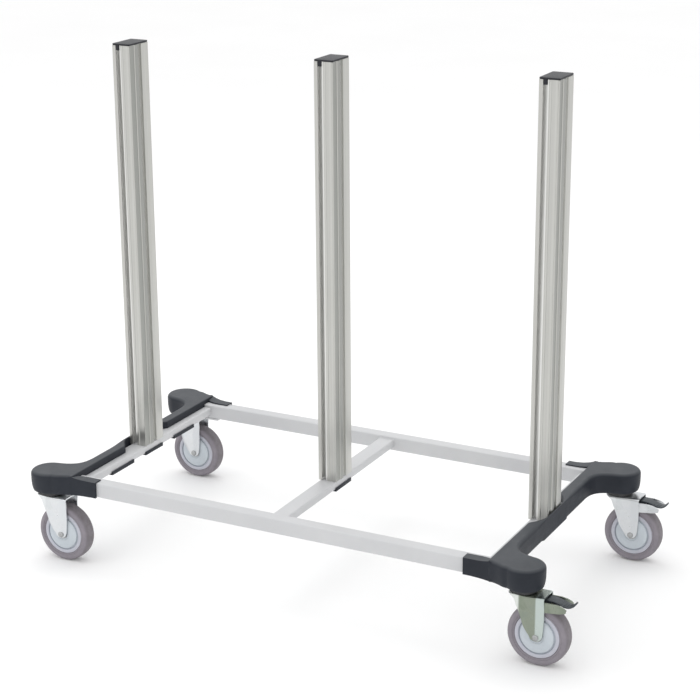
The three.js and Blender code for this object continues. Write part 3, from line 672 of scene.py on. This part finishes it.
def foot_clip_mesh(name, lo, hi):
    """A channel under the cross tube: a floor and two walls."""
    half = (hi[0] - lo[0]) / 2
    inner, floor = half - CLIP_WALL, lo[2] + CLIP_FLOOR
    section = fillet([
        (-half, lo[2]), (half, lo[2]), (half, hi[2]), (inner, hi[2]),
        (inner, floor), (-inner, floor), (-inner, hi[2]), (-half, hi[2]),
    ], 0.8, 3)
    return mesh_of(name, rounded_prism(section, lo[1], hi[1], 0.6, 1), "moulding_plastic", 40)


def foot_bolt_mesh(name, base):
    """A washer and a hexagon head that hang below the height of the base."""

    def below(u, v, w):
        return (u, v, base - WASHER - w)

    washer = rounded_prism(circle(9.2, 40), base - WASHER, base, 0.35)
    return mesh_of(name, merged(washer, hex_head(7.5, 4.1, below)), "bright_steel", 28)


for upright_name in UPRIGHTS:
    node = f"{upright_name}_upright"
    lo, hi = box_mm(node)
    x, y, _ = middle(node)
    name = f"{upright_name}_extrusion"
    extrusion = mesh_of(name, skin(along(2, post_loop(), lo[2], hi[2])), "anodised_aluminium", 30)
    place(name, extrusion, "base_frame", (x, y, 0), "anodised_aluminium", [node])

    node = f"{upright_name}_upright_cap"
    name = f"{upright_name}_cap_moulding"
    cap = cap_mesh(name, box_mm(node)[1][2])
    place(name, cap, "base_frame", (x, y, 0), "cap_plastic", [node])

    node = f"{upright_name}_foot_plate"
    name = f"{upright_name}_foot_clip"
    lo, hi = box_mm(node)
    clip = foot_clip_mesh(name, lo, hi)
    place(name, clip, "base_frame", (middle(node)[0], 0, 0), "moulding_plastic", [node])
    for side_name in SIDES:
        node = f"{upright_name}_upright_{side_name}_bolt"
        name = f"{upright_name}_{side_name}_foot_bolt"
        x, y, _ = middle(node)
        bolt = foot_bolt_mesh(name, lo[2] - GAP)
        place(name, bolt, "base_frame", (x, y, 0), "bright_steel", [node])

# ---------------------------------------------------------------- end mouldings
# The right-hand one is drawn, measured from the middle upright; the left one is its mirror image.

COVER_BOTTOM, COVER_TOP = (corner[2] for corner in box_mm("right_end_moulding"))
RAIL_BOTTOM, RAIL_TOP = (corner[2] for corner in box_mm("front_long_rail"))
TUBE_BOTTOM, TUBE_TOP = (corner[2] for corner in box_mm("right_cross_tube"))
RAIL_Y, RAIL_HALF_WIDTH = 263, 15
TUBE_X, TUBE_HALF_WIDTH = 479, 18
LOBE = (547.0, 271.0)
LOBE_RADIUS = 41.0
LOBE_START, LOBE_SWEEP = 80, 206  # degrees round the lobe
BAR_INNER, BAR_OUTER = 478.0, 505.0
NOTCH, NOTCH_END = 501.0, 86
LEG_END = 424.0
COVER_WALL, WALL_AT_RIM = 3.6, 7.0
NOTCH_RIM, BAR_RIM, LEG_RIM, LOBE_RIM = 1.7, 1.8, 3.4, 8.6  # how far the top edge is rounded


def bezier(a, b, c, d, steps):
    made = []
    for k in range(1, steps + 1):
        t = k / steps
        point = [
            (1 - t) ** 3 * p + 3 * t * (1 - t) ** 2 * q + 3 * t * t * (1 - t) * r + t**3 * s
            for p, q, r, s in zip(a, b, c, d)
        ]
        made.append(tuple(point))
    return made


def straight(a, b, steps):
    return [tuple(p + (q - p) * k / steps for p, q in zip(a, b)) for k in range(1, steps + 1)]


def cover_half():
    """Plan of the front half, from the middle of the outer face round to the middle of the notch."""

    def on_lobe(degrees):
        angle = math.radians(degrees)
        return (LOBE[0] + LOBE_RADIUS * math.cos(angle), -LOBE[1] + LOBE_RADIUS * math.sin(angle))

    points = [(BAR_OUTER, -6.0)]
    points += straight(points[-1], (BAR_OUTER, -172), 24)
    enter = on_lobe(LOBE_START)
    points += bezier(points[-1], (BAR_OUTER, -212), (enter[0] - 38, enter[1] + 7), enter, 16)
    points += [on_lobe(LOBE_START - LOBE_SWEEP * k / 40) for k in range(1, 41)]
    leg_side = (BAR_INNER + 7, -292.0)
    points += bezier(points[-1], (LOBE[0] - 40, -304), (leg_side[0] + 20, leg_side[1] - 4), leg_side, 10)
    points += [(BAR_INNER + 2.2, -289.8), (BAR_INNER, -286.0)]
    points += straight(points[-1], (BAR_INNER, -NOTCH_END), 20)
    points += bezier(points[-1], (BAR_INNER + 14, -68), (NOTCH, -58), (NOTCH, -40), 12)
    points += straight(points[-1], (NOTCH, -6), 4)
    return points


def both_halves(half):
    """A whole plan, anticlockwise, from its front half."""
    loop = half + [(x, -y) for x, y in reversed(half)]
    loop.reverse()
    return loop


def blend_range(value, start, end):
    t = min(1.0, max(0.0, (value - start) / (end - start)))
    return t * t * (3 - 2 * t)


def rim_radius(x, y):
    """How far the top edge is rounded at a point of the plan."""
    if BAR_INNER <= x < NOTCH + 1 and abs(y) < NOTCH_END + 1:
        return NOTCH_RIM + 2.0 * blend_range(NOTCH - x, 0, 14)
    if x < BAR_INNER + 3:
        return LEG_RIM
    if abs(y) < 130 and x > BAR_OUTER - 1:
        return BAR_RIM + (LOBE_RIM - BAR_RIM) * blend_range(abs(y), 42, 110)
    return LOBE_RIM


def cover_solid():
    loop = both_halves(cover_half())
    radii = [rim_radius(x, y) for x, y in loop]
    rings = []
    for inset, level in ((4.6, 0.0), (3.4, 1.0), (2.2, 4.5), (1.0, 10.0), (0.2, 18.0), (0.0, 24.0)):
        drawn = [inset if r > 4 else inset * 0.25 for r in radii]
        rings.append([(x, y, COVER_BOTTOM + level) for x, y in offset_loop(loop, drawn)])
    for k in range(9):
        angle = math.pi / 2 * k / 8
        drawn = [r * (1 - math.cos(angle)) for r in radii]
        rings.append([
            (x, y, COVER_TOP - r * (1 - math.sin(angle)))
            for (x, y), r in zip(offset_loop(loop, drawn), radii)
        ])
    return skin(rings)


def cavity_solid():
    """The space under the moulding: its plan drawn in by the wall, without the strip behind the notch."""
    half = [p for p in cover_half() if not (p[0] < NOTCH + 1 and p[1] > -NOTCH_END - 1)]
    loop = both_halves([(BAR_OUTER, 0.0)] + half[1:])[1:]
    inner = offset_loop(loop, COVER_WALL)
    edge = offset_loop(loop, WALL_AT_RIM)
    return skin([
        [(x, y, COVER_BOTTOM - 2) for x, y in edge],
        [(x, y, COVER_BOTTOM + 12) for x, y in inner],
        [(x, y, COVER_TOP - 7.5) for x, y in inner],
        [(x, y, COVER_TOP - COVER_WALL) for x, y in edge],
    ])


def notch_guard():
    """The part of the cavity that stays solid, as the wall round the notch."""
    start, end = (BAR_INNER, -90), (NOTCH + 6, -44)
    half = [(BAR_INNER - 8, -96), start]
    half += bezier(start, (BAR_INNER + 18, -72), (NOTCH + 6, -62), end, 8)
    loop = half + [(x, -y) for x, y in reversed(half)]
    return skin(along(2, loop, COVER_BOTTOM - 3, COVER_TOP + 2))


def cuboid(x, y, z):
    return skin(along(2, [(x[0], y[0]), (x[1], y[0]), (x[1], y[1]), (x[0], y[1])], *z))


# along a leg: X, how far its outer wall stands out, and how far it rises
LEG_STATIONS = ((LEG_END, 0.0, 0.0), (440, 0.0, 0.0), (456, 1.6, 0.8), (468, 3.6, 2.6), (478, 5.8, 5.2),
                (486, 7.4, 7.0))
LEG_INSIDE, LEG_OUTSIDE = RAIL_Y + RAIL_HALF_WIDTH + GAP, 283.4
LIP_Y = 260.0
LIP_TOP = 2.8  # height of the lip's top above the rail


def leg_solid():
    """A leg's outer wall, which rises a little towards the lobe, and the thin lip over the rail."""
    rings = []
    for x, wide, high in LEG_STATIONS:
        top = RAIL_TOP + LIP_TOP + high
        edge = LEG_OUTSIDE + wide
        lip = LIP_Y if high < 1 else LIP_Y + 8 * (high - 1) / 6
        ring = [
            (edge, RAIL_BOTTOM - 0.4), (edge, top - 1.6), (edge - 0.5, top - 0.5), (edge - 1.6, top),
            (lip + 0.8, RAIL_TOP + LIP_TOP + high * 0.2), (lip, RAIL_TOP + 2.0), (lip, RAIL_TOP + GAP),
            (LEG_INSIDE, RAIL_TOP + GAP), (LEG_INSIDE, RAIL_BOTTOM - 0.4),
        ]
        rings.append([(x, -y, z) for y, z in ring])
    return skin(rings)


HOOK_Y = (82, 168)
HOOK_THICKNESS, HOOK_WALL, HOOK_RISE = 3, 2.3, 5


def hook_solid(y0, y1):
    """A clip under the end tube, with its tip turned up behind the tube."""
    inner = TUBE_X - TUBE_HALF_WIDTH - GAP
    top = TUBE_BOTTOM - GAP
    bottom = top - HOOK_THICKNESS
    section = [
        (inner - HOOK_WALL, bottom), (BAR_OUTER - 1, bottom), (BAR_OUTER - 1, top), (inner, top),
        (inner, top + HOOK_RISE), (inner - HOOK_WALL, top + HOOK_RISE),
    ]
    return rounded_prism(section, y0, y1, 0.5, 1)


def flipped(shape):
    verts, faces = shape
    return [(x, -y, z) for x, y, z in verts], [tuple(reversed(face)) for face in faces]


def scratch(shape):
    """A helper object for joining and cutting."""
    return add_object("scratch", mesh_of("scratch", shape, "moulding_plastic"))


def carve(base, operation, *others):
    """Joins the other scratch objects to the base or cuts them from it, and removes them."""
    for other in others:
        modifier = base.modifiers.new("cut", "BOOLEAN")
        modifier.operation = operation
        modifier.solver = "EXACT"
        modifier.object = other
    bpy.context.view_layer.update()
    result = bpy.data.meshes.new_from_object(base.evaluated_get(bpy.context.evaluated_depsgraph_get()))
    base.modifiers.clear()
    base.data = result
    for other in others:
        bpy.data.objects.remove(other)
    return base


def moulding_mesh():
    """The right-hand moulding: a shell with legs, cut round the rails and the end tube, then its hooks."""
    cut_x = (LEG_END - 9, TUBE_X + TUBE_HALF_WIDTH + GAP)
    cut_bottom = COVER_BOTTOM - 4
    base = scratch(cover_solid())
    hollow = carve(scratch(cavity_solid()), "DIFFERENCE", scratch(notch_guard()))
    tube_y = RAIL_Y - RAIL_HALF_WIDTH
    tube = scratch(cuboid(cut_x, (-tube_y, tube_y), (cut_bottom, TUBE_TOP + GAP)))
    base = carve(base, "DIFFERENCE", hollow, tube)
    legs = [scratch(leg_solid()), scratch(flipped(leg_solid()))]
    base = carve(base, "UNION", *legs)
    rail_half = RAIL_HALF_WIDTH + GAP
    rails = [
        scratch(cuboid(cut_x, (y - rail_half, y + rail_half), (cut_bottom, RAIL_TOP + GAP)))
        for y in (-RAIL_Y, RAIL_Y)
    ]
    base = carve(base, "DIFFERENCE", *rails)
    hooks = [scratch(hook_solid(-HOOK_Y[1], -HOOK_Y[0])), scratch(hook_solid(*HOOK_Y))]
    base = carve(base, "UNION", *hooks)
    made = base.data
    bpy.data.objects.remove(base)
    clean(made, 5e-6, 5e-6)
    return made


def moulding_for(mesh, name, end):
    """The moulding for one end: the right-hand mesh or its mirror image."""
    made = mesh.copy()
    made.name = name
    made.transform(Matrix.Diagonal((end, 1, 1, 1)))
    if end < 0:
        made.flip_normals()
    made.materials.clear()
    made.materials.append(FINISH["moulding_plastic"])
    smooth(made, 34)
    return made


right_moulding = moulding_mesh()
for end_name, end in ENDS.items():
    name = f"{end_name}_corner_moulding"
    mesh = moulding_for(right_moulding, name, end)
    made = place(name, mesh, "base_frame", (MID_X, 0, 0), "moulding_plastic", [f"{end_name}_end_moulding"])
    made.modifiers.new("even_shading", "WEIGHTED_NORMAL").keep_sharp = True

# ---------------------------------------------------------------- castors, about their own swivel axis

TRAIL = 34.0
AXLE_Z = 62.5
CROWN_TOP = 146.3


def head_meshes():
    """The fixed cup with its neck, and the dark dust ring round its rim, widened over the cup as a dark sheet
    that stands in for its shade.
    """
    cup = [
        (0, 155), (5.9, 155), (5.9, 153.9), (22.6, 153.9), (24.6, 153.2), (25.7, 151.8), (26, 150.2),
        (25.8, 149.3), (23, 149.1), (22.4, 147.2), (8.2, 146.9), (8.2, 141.2), (11, 141.0), (12, 140.2),
        (12, 138.4), (10.6, 137.5), (0, 137.4),
    ]
    # the dust ring reaches over the cup's rim: a dark sheet that stands in for the shade there
    shroud = [
        (9, 149.0), (26.2, 149.0), (26.2, 153.4), (26.6, 153.7), (27.2, 153.2), (27.3, 150.2), (27.2, 147.4),
        (26.4, 146.8), (24.2, 146.7), (9, 146.7),
    ]
    rings = [[(r * u, r * v, z) for r, z in shroud] for u, v in circle(1, 72)]
    return (
        mesh_of("swivel_cup", lathe_z(cup), "zinc_plate", 30),
        mesh_of("swivel_dust_ring", skin(rings, loop=True), "dust_ring_plastic", 40),
    )


CROWN_END = 50.0
FORK_REACH, FORK_BEND, FORK_SHEET = 24.0, 6.5, 2.8  # half width, bend radius and thickness
FORK_FOOT = 55.5
# the cheek's two sides as (height, X) points; below the last one each side curves in under the axle
CHEEK_LEAD = ((CROWN_TOP, -24.0), (141.5, -17.0), (136.0, -11.0), (108.0, 1.0), (84.0, 9.0), (64.5, 21.5))
CHEEK_TRAIL = ((CROWN_TOP, CROWN_END), (98.5, CROWN_END), (71.5, 48.0))
CHEEK_LEVELS = (136, 130, 124, 116, 108, 100, 92, 84, 78, 73, 69, 66, 64.5, 62.5, 60.5, 58.8, 57.4, 56.4,
                55.8, 55.6)
CREASE_X, CREASE_SLOPE, CREASE_SOFTNESS = 32.5, 0.16, 2.0
CURL_DEPTH, CURL_WIDTH = 1.4, 6.0
FORK_COLUMNS = 32


def cheek_side(points, pull, z):
    """X of one side of the cheek at a height; pull bends the curve at its foot."""
    foot_top, foot_x = points[-1]
    if z <= foot_top:
        t = math.sqrt(max(0.0, z - FORK_FOOT) / (foot_top - FORK_FOOT))
        return TRAIL * (1 - t) ** 2 + 2 * pull * t * (1 - t) + foot_x * t * t
    for (high, x_high), (low, x_low) in zip(points, points[1:]):
        if z >= low:
            break
    return x_low + (x_high - x_low) * (z - low) / (high - low)


def fork_section():
    """The sheet's outer face as (y, z) points, from the foot of one cheek over the crown to the other's."""
    flat = FORK_REACH - FORK_BEND
    half = [(y, CROWN_TOP) for y in (0, 6, 12, flat)]
    for k in range(1, 9):
        angle = math.pi / 2 * k / 8
        half.append((flat + FORK_BEND * math.sin(angle), CROWN_TOP - FORK_BEND * (1 - math.cos(angle))))
    half += [(FORK_REACH, z) for z in CHEEK_LEVELS]
    return [(-y, z) for y, z in reversed(half[1:])] + half


def fork_mesh(name, finish):
    """Pressed sheet: a crown bent into two cheeks, creased above the axle, with a curled leading edge."""
    rows = fork_section()
    rings = []
    for i, (y, z) in enumerate(rows):
        before, after = rows[max(0, i - 1)], rows[min(len(rows) - 1, i + 1)]
        along = Vector((after[0] - before[0], after[1] - before[1])).normalized()
        out = Vector((-along.y, along.x))
        lead = cheek_side(CHEEK_LEAD, 24.0, z)
        trailing = cheek_side(CHEEK_TRAIL, 47.0, z)
        curl_here = CURL_DEPTH * blend_range(135 - z, 0, 14) * blend_range(z, 62, 74)
        fold_here = CREASE_SLOPE * blend_range(CROWN_TOP - 4 - z, 0, 20)
        layers = ([], [])
        for c in range(FORK_COLUMNS + 1):
            t = 0.5 - 0.5 * math.cos(math.pi * c / FORK_COLUMNS)
            x = lead + (trailing - lead) * t
            curl = curl_here * max(0.0, 1 - (x - lead) / CURL_WIDTH) ** 2
            past = max(0.0, x - CREASE_X)
            fold = fold_here * (math.hypot(past, CREASE_SOFTNESS) - CREASE_SOFTNESS)
            for layer, depth in zip(layers, (0.0, FORK_SHEET)):
                shift = curl - fold - depth
                layer.append((x, y + out.x * shift, z + out.y * shift))
        rings.append(layers[0] + list(reversed(layers[1])))
    return mesh_of(name, skin(rings), finish, 24)


# halves of the wheel parts' profiles, as (radius, distance from the wheel's middle plane)
TYRE_HALF = [
    (46.4, 14.2), (47.2, 14.9), (49.2, 15.2), (49.7, 14.8), (50.4, 14.8), (50.9, 15.6), (53, 16.0),
    (56.5, 15.8), (59.2, 14.6), (60.9, 12.6), (61.9, 9.6), (62.4, 5.0), (62.5, 1.0),
]
HUB_HALF = [
    (11.4, 16.8), (14.2, 16.8), (15.0, 17.6), (16.4, 17.9), (24, 17.5), (31.5, 16.4), (33.6, 15.8),
    (34.6, 14.6), (34.9, 12.6), (37.0, 12.4), (37.4, 13.6), (38.2, 14.4), (40.5, 14.9), (44.2, 14.8),
    (45.4, 14.4), (45.9, 13.6),
]
BEARING_HALF = [
    (4.4, 18.4), (6.6, 18.4), (6.9, 17.9), (7.3, 17.9), (7.5, 18.1), (9.6, 18.1), (9.8, 17.8),
    (10.2, 17.8), (10.4, 18.3), (11.0, 18.3),
]


def rivet_mesh(name):
    """A low domed head with a shallow dimple, on the near cheek."""
    dome = [(0, 1.5), (1.6, 1.5), (2.2, 1.9), (3, 2.1), (4.6, 1.9), (5.8, 1.2), (6.4, 0.4), (6.5, 0), (0, 0)]
    verts, faces = lathe_z(dome, 48)
    return mesh_of(name, ([(x, -FORK_REACH - z, y) for x, y, z in verts], faces), "bright_steel", 40)


NUT_WASHER, NUT_HEIGHT, BOLT_STUB = 1.3, 3.4, 1.2


def locknut_mesh(name):
    """On the far cheek: a washer, a chamfered hexagon and the rounded end of the bolt."""

    def turn(u, v, w):
        return (u, FORK_REACH + NUT_WASHER + w, v)

    washer = rounded_prism(circle(8.6, 48), FORK_REACH + 0.05, FORK_REACH + NUT_WASHER, 0.35, 1, 3)
    verts, faces = lathe_z([(0, 0), (3.9, 0), (3.9, BOLT_STUB - 1.0), (3.1, BOLT_STUB), (0, BOLT_STUB)], 32)
    stub = ([turn(x, y, z + NUT_HEIGHT - 0.2) for x, y, z in verts], faces)
    return mesh_of(name, merged(washer, hex_head(7.4, NUT_HEIGHT, turn), stub), "bright_steel", 28)


def smooth_path(points, steps):
    """A curve through the points, each span cut into steps."""
    made = []
    last = len(points) - 1
    for i in range(last):
        p = [Vector(points[max(0, min(last, j))]) for j in (i - 1, i, i + 1, i + 2)]
        for k in range(steps):
            t = k / steps
            made.append(0.5 * (2 * p[1] + (p[2] - p[0]) * t + (2 * p[0] - 5 * p[1] + 4 * p[2] - p[3]) * t**2
                               + (3 * p[1] - p[0] - 3 * p[2] + p[3]) * t**3))
    made.append(Vector(points[-1]))
    return made


PEDAL_SPINE = ((34.2, 134.8), (40, 137), (48, 138.4), (56, 139.4), (66, 138.2), (77, 135), (87, 131.9),
               (95, 131.4), (102, 134.8), (107.2, 140.8))
PEDAL_THICKNESS = 3.2
PEDAL_HALF_WIDTH, TIP_NARROWING = 11.9, 5.0
TIP_RADIUS, ROOT_RADIUS = 3.5, 3
EAR_OUTSIDE, EAR_THICKNESS = 12.0, 3
GRIP_BARS = (26, 29, 32)  # the points of the spine that carry a bar


def axes_at(path, i):
    """The direction of a path at one of its points, and the direction out of its upper side."""
    tangent = (path[min(len(path) - 1, i + 1)] - path[max(0, i - 1)]).normalized()
    return tangent, Vector((-tangent.y, tangent.x))


def drawn_in(distance, radius):
    """How far a rounded end draws in the half width, at a distance from that end."""
    if distance >= radius:
        return 0.0
    return radius * (1 - math.sqrt(max(0.0, 1 - (1 - distance / radius) ** 2)))


def foot_plate_shape(spine):
    """A plate along the spine that narrows to its tip."""
    half = PEDAL_THICKNESS / 2
    rings = []
    for i, point in enumerate(spine):
        out = axes_at(spine, i)[1]
        width = PEDAL_HALF_WIDTH - TIP_NARROWING * blend_range(point.x, 84, 110)
        width -= drawn_in((spine[-1] - point).length, TIP_RADIUS)
        width -= drawn_in((point - spine[0]).length, ROOT_RADIUS)
        section = fillet([(-width, -half), (width, -half), (width, half), (-width, half)], 1.3, 3)
        rings.append([(point.x + out.x * w, y, point.y + out.y * w) for y, w in section])
    return skin(rings)


def grip_bar_shape(spine, i):
    """A low rounded bar across the top of the plate."""
    tangent, out = axes_at(spine, i)
    centre = spine[i] + out * (PEDAL_THICKNESS / 2)
    rings = []
    for y, grow in ((-8.5, 0.35), (-8.2, 0.8), (-7.4, 1.0), (7.4, 1.0), (8.2, 0.8), (8.5, 0.35)):
        ring = []
        for u, v in circle(grow, 10):
            offset = tangent * (1.1 * u) + out * (0.8 * v)
            ring.append((centre.x + offset.x, y, centre.y + offset.y))
        rings.append(ring)
    return skin(rings)


def pedal_meshes():
    """The brake's foot plate with its grip bars, and its ears with the shoe."""
    spine = smooth_path(PEDAL_SPINE, 5)
    bars = [grip_bar_shape(spine, i) for i in GRIP_BARS]
    ear = fillet([(60, 135.6), (50, 130), (42.5, 126.5), (37.5, 126.5), (34.8, 128.4), (33.8, 134.6),
                  (40, 136.4), (48, 138), (60, 138.2)], 1.0, 3)
    inside = EAR_OUTSIDE - EAR_THICKNESS
    arms = [rounded_prism(ear, y, y + EAR_THICKNESS, 0.4, 1) for y in (-EAR_OUTSIDE, inside)]
    shoe = fillet([(63, 124), (70, 121), (70, 136), (63, 137.8)], 1.2, 4)
    arms.append(rounded_prism(shoe, -inside, inside, 0.8, 1))
    return (
        mesh_of("pedal_plate", merged(foot_plate_shape(spine), *bars), "pedal_steel", 40),
        mesh_of("pedal_arms", merged(*arms), "pedal_steel", 40),
    )


cup_mesh, dust_ring_and_shade_mesh = head_meshes()
plain_fork = fork_mesh("pressed_fork", "zinc_plate")
passivated_fork = fork_mesh("pressed_fork_passivated", "zinc_passivated")
tyre = mesh_of("wheel_tyre", wheel_part(TYRE_HALF, 120), "grey_rubber", 40)
hub = mesh_of("wheel_centre", wheel_part(HUB_HALF, 96), "hub_plastic", 30)
bearing = mesh_of("wheel_race", wheel_part(BEARING_HALF, 48), "bright_steel", 30)
bolt_end = rivet_mesh("axle_head")
nut_end = locknut_mesh("axle_locknut")
pedal_plate, pedal_arms = pedal_meshes()

def place_castor(key, braked):
    x, y, _ = middle(f"{key}_swivel_head")
    swivel, axle = (x, y, 0), (x + TRAIL, y, AXLE_Z)
    castor, wheel, pedal = f"{key}_castor", f"{key}_wheel", f"{key}_pedal"
    fork = passivated_fork if key == PASSIVATED_CASTOR else plain_fork
    rows = [
        ("swivel_cup", cup_mesh, "base_frame", swivel, "zinc_plate", ["swivel_head"]),
        # the dust ring also covers the cup's rim as painted shade
        ("dust_ring", dust_ring_and_shade_mesh, "base_frame", swivel, None, []),
        ("pressed_fork", fork, castor, swivel, "zinc_plate", ["fork"]),
        ("axle_head", bolt_end, castor, axle, "bright_steel", ["axle_bolt"]),
        ("axle_locknut", nut_end, castor, axle, "bright_steel", ["axle_nut"]),
        ("rubber_tyre", tyre, wheel, axle, "grey_rubber", ["tyre"]),
        ("wheel_centre", hub, wheel, axle, "hub_plastic", ["wheel_hub"]),
        ("wheel_race", bearing, wheel, axle, "bright_steel", ["wheel_bearing"]),
    ]
    if braked:
        rows += [
            ("pedal_plate", pedal_plate, pedal, swivel, "pedal_steel", ["brake_pedal"]),
            ("pedal_arms", pedal_arms, pedal, swivel, "pedal_steel", []),
        ]
    for piece, mesh, body, at, slot, nodes in rows:
        place(f"{key}_{piece}", mesh, body, at, slot, [f"{key}_{node}" for node in nodes])


for end_name in ENDS:
    for side_name in SIDES:
        place_castor(f"{side_name}_{end_name}", braked=end_name == "right")

# the CAD nodes that stay in sight get their edges eased
for node_name, node_object in frame["nodes"].items():
    if node_object.hide_render:
        continue
    ease = node_object.modifiers.new("eased_edges", "BEVEL")
    ease.width = 0.0004
    ease.segments = 2
    ease.limit_method = "ANGLE"
    ease.angle_limit = math.radians(40)

# ---------------------------------------------------------------- floor, light, camera


FLOOR_HALF_SIZE = 30.0
FLOOR_TINTS = ((0.955, 0.955, 0.955), (0.97, 0.97, 0.97))
WORLD_STRENGTH = 1.03
SENSOR_WIDTH, LENS = 36.0, 97.1897
CAMERA_AT = (1758.9 + MID_X, -3322.4, 1690.8)
AZIMUTH, ELEVATION, ROLL = (math.radians(a) for a in (27.39, 18.04, -0.37))


def stage_plane():
    made = Finish("stage_floor", Specular_IOR_Level=0.2, Roughness=0.8)
    made.wire(made.ramp(made.noise(1.5, 2.0), list(zip((0.3, 0.7), FLOOR_TINTS))), "Base Color")
    mesh = bpy.data.meshes.new("floor")
    corners = [(u * FLOOR_HALF_SIZE, v * FLOOR_HALF_SIZE, 0) for u, v in ((-1, -1), (1, -1), (1, 1), (-1, 1))]
    mesh.from_pydata(corners, [], [(0, 1, 2, 3)])
    mesh.materials.append(made.material)
    add_object("floor", mesh)


def area_light(name, at, target, size, power):
    lamp = bpy.data.lights.new(name, "AREA")
    lamp.shape = "RECTANGLE"
    lamp.size, lamp.size_y = size
    lamp.energy = power
    made = add_object(name, lamp)
    made.location = at
    made.rotation_euler = (Vector(target) - Vector(at)).to_track_quat("-Z", "Y").to_euler()


def aim_camera(camera):
    """Stands the camera at CAMERA_AT, looking back along its azimuth and elevation, with a little roll."""
    back = Vector((
        math.sin(AZIMUTH) * math.cos(ELEVATION),
        -math.cos(AZIMUTH) * math.cos(ELEVATION),
        math.sin(ELEVATION),
    ))
    right = Vector((math.cos(AZIMUTH), math.sin(AZIMUTH), 0))
    up = back.cross(right)
    rolled_right = right * math.cos(ROLL) + up * math.sin(ROLL)
    rolled_up = up * math.cos(ROLL) - right * math.sin(ROLL)
    turn = Matrix((rolled_right, rolled_up, back)).transposed().to_4x4()
    camera.matrix_world = Matrix.Translation(Vector(CAMERA_AT) * MM) @ turn


stage_plane()
world = bpy.data.worlds.new("studio")
bpy.context.scene.world = world
world.use_nodes = True
world.node_tree.nodes["Background"].inputs["Color"].default_value = (1.0, 1.0, 1.0, 1)
world.node_tree.nodes["Background"].inputs["Strength"].default_value = WORLD_STRENGTH
area_light("key_light", at=(-0.9, 0.6, 3.4), target=(0, 0, 0.3), size=(2.6, 2.0), power=22)
area_light("fill_light", at=(-2.6, -1.4, 2.0), target=(0, 0, 0.5), size=(2.4, 2.4), power=9)

camera_data = bpy.data.cameras.new("camera")
camera_data.sensor_width = SENSOR_WIDTH
camera_data.lens = LENS
camera = add_object("camera", camera_data)
aim_camera(camera)
bpy.context.scene.camera = camera
bpy.context.scene.view_settings.view_transform = "Standard"
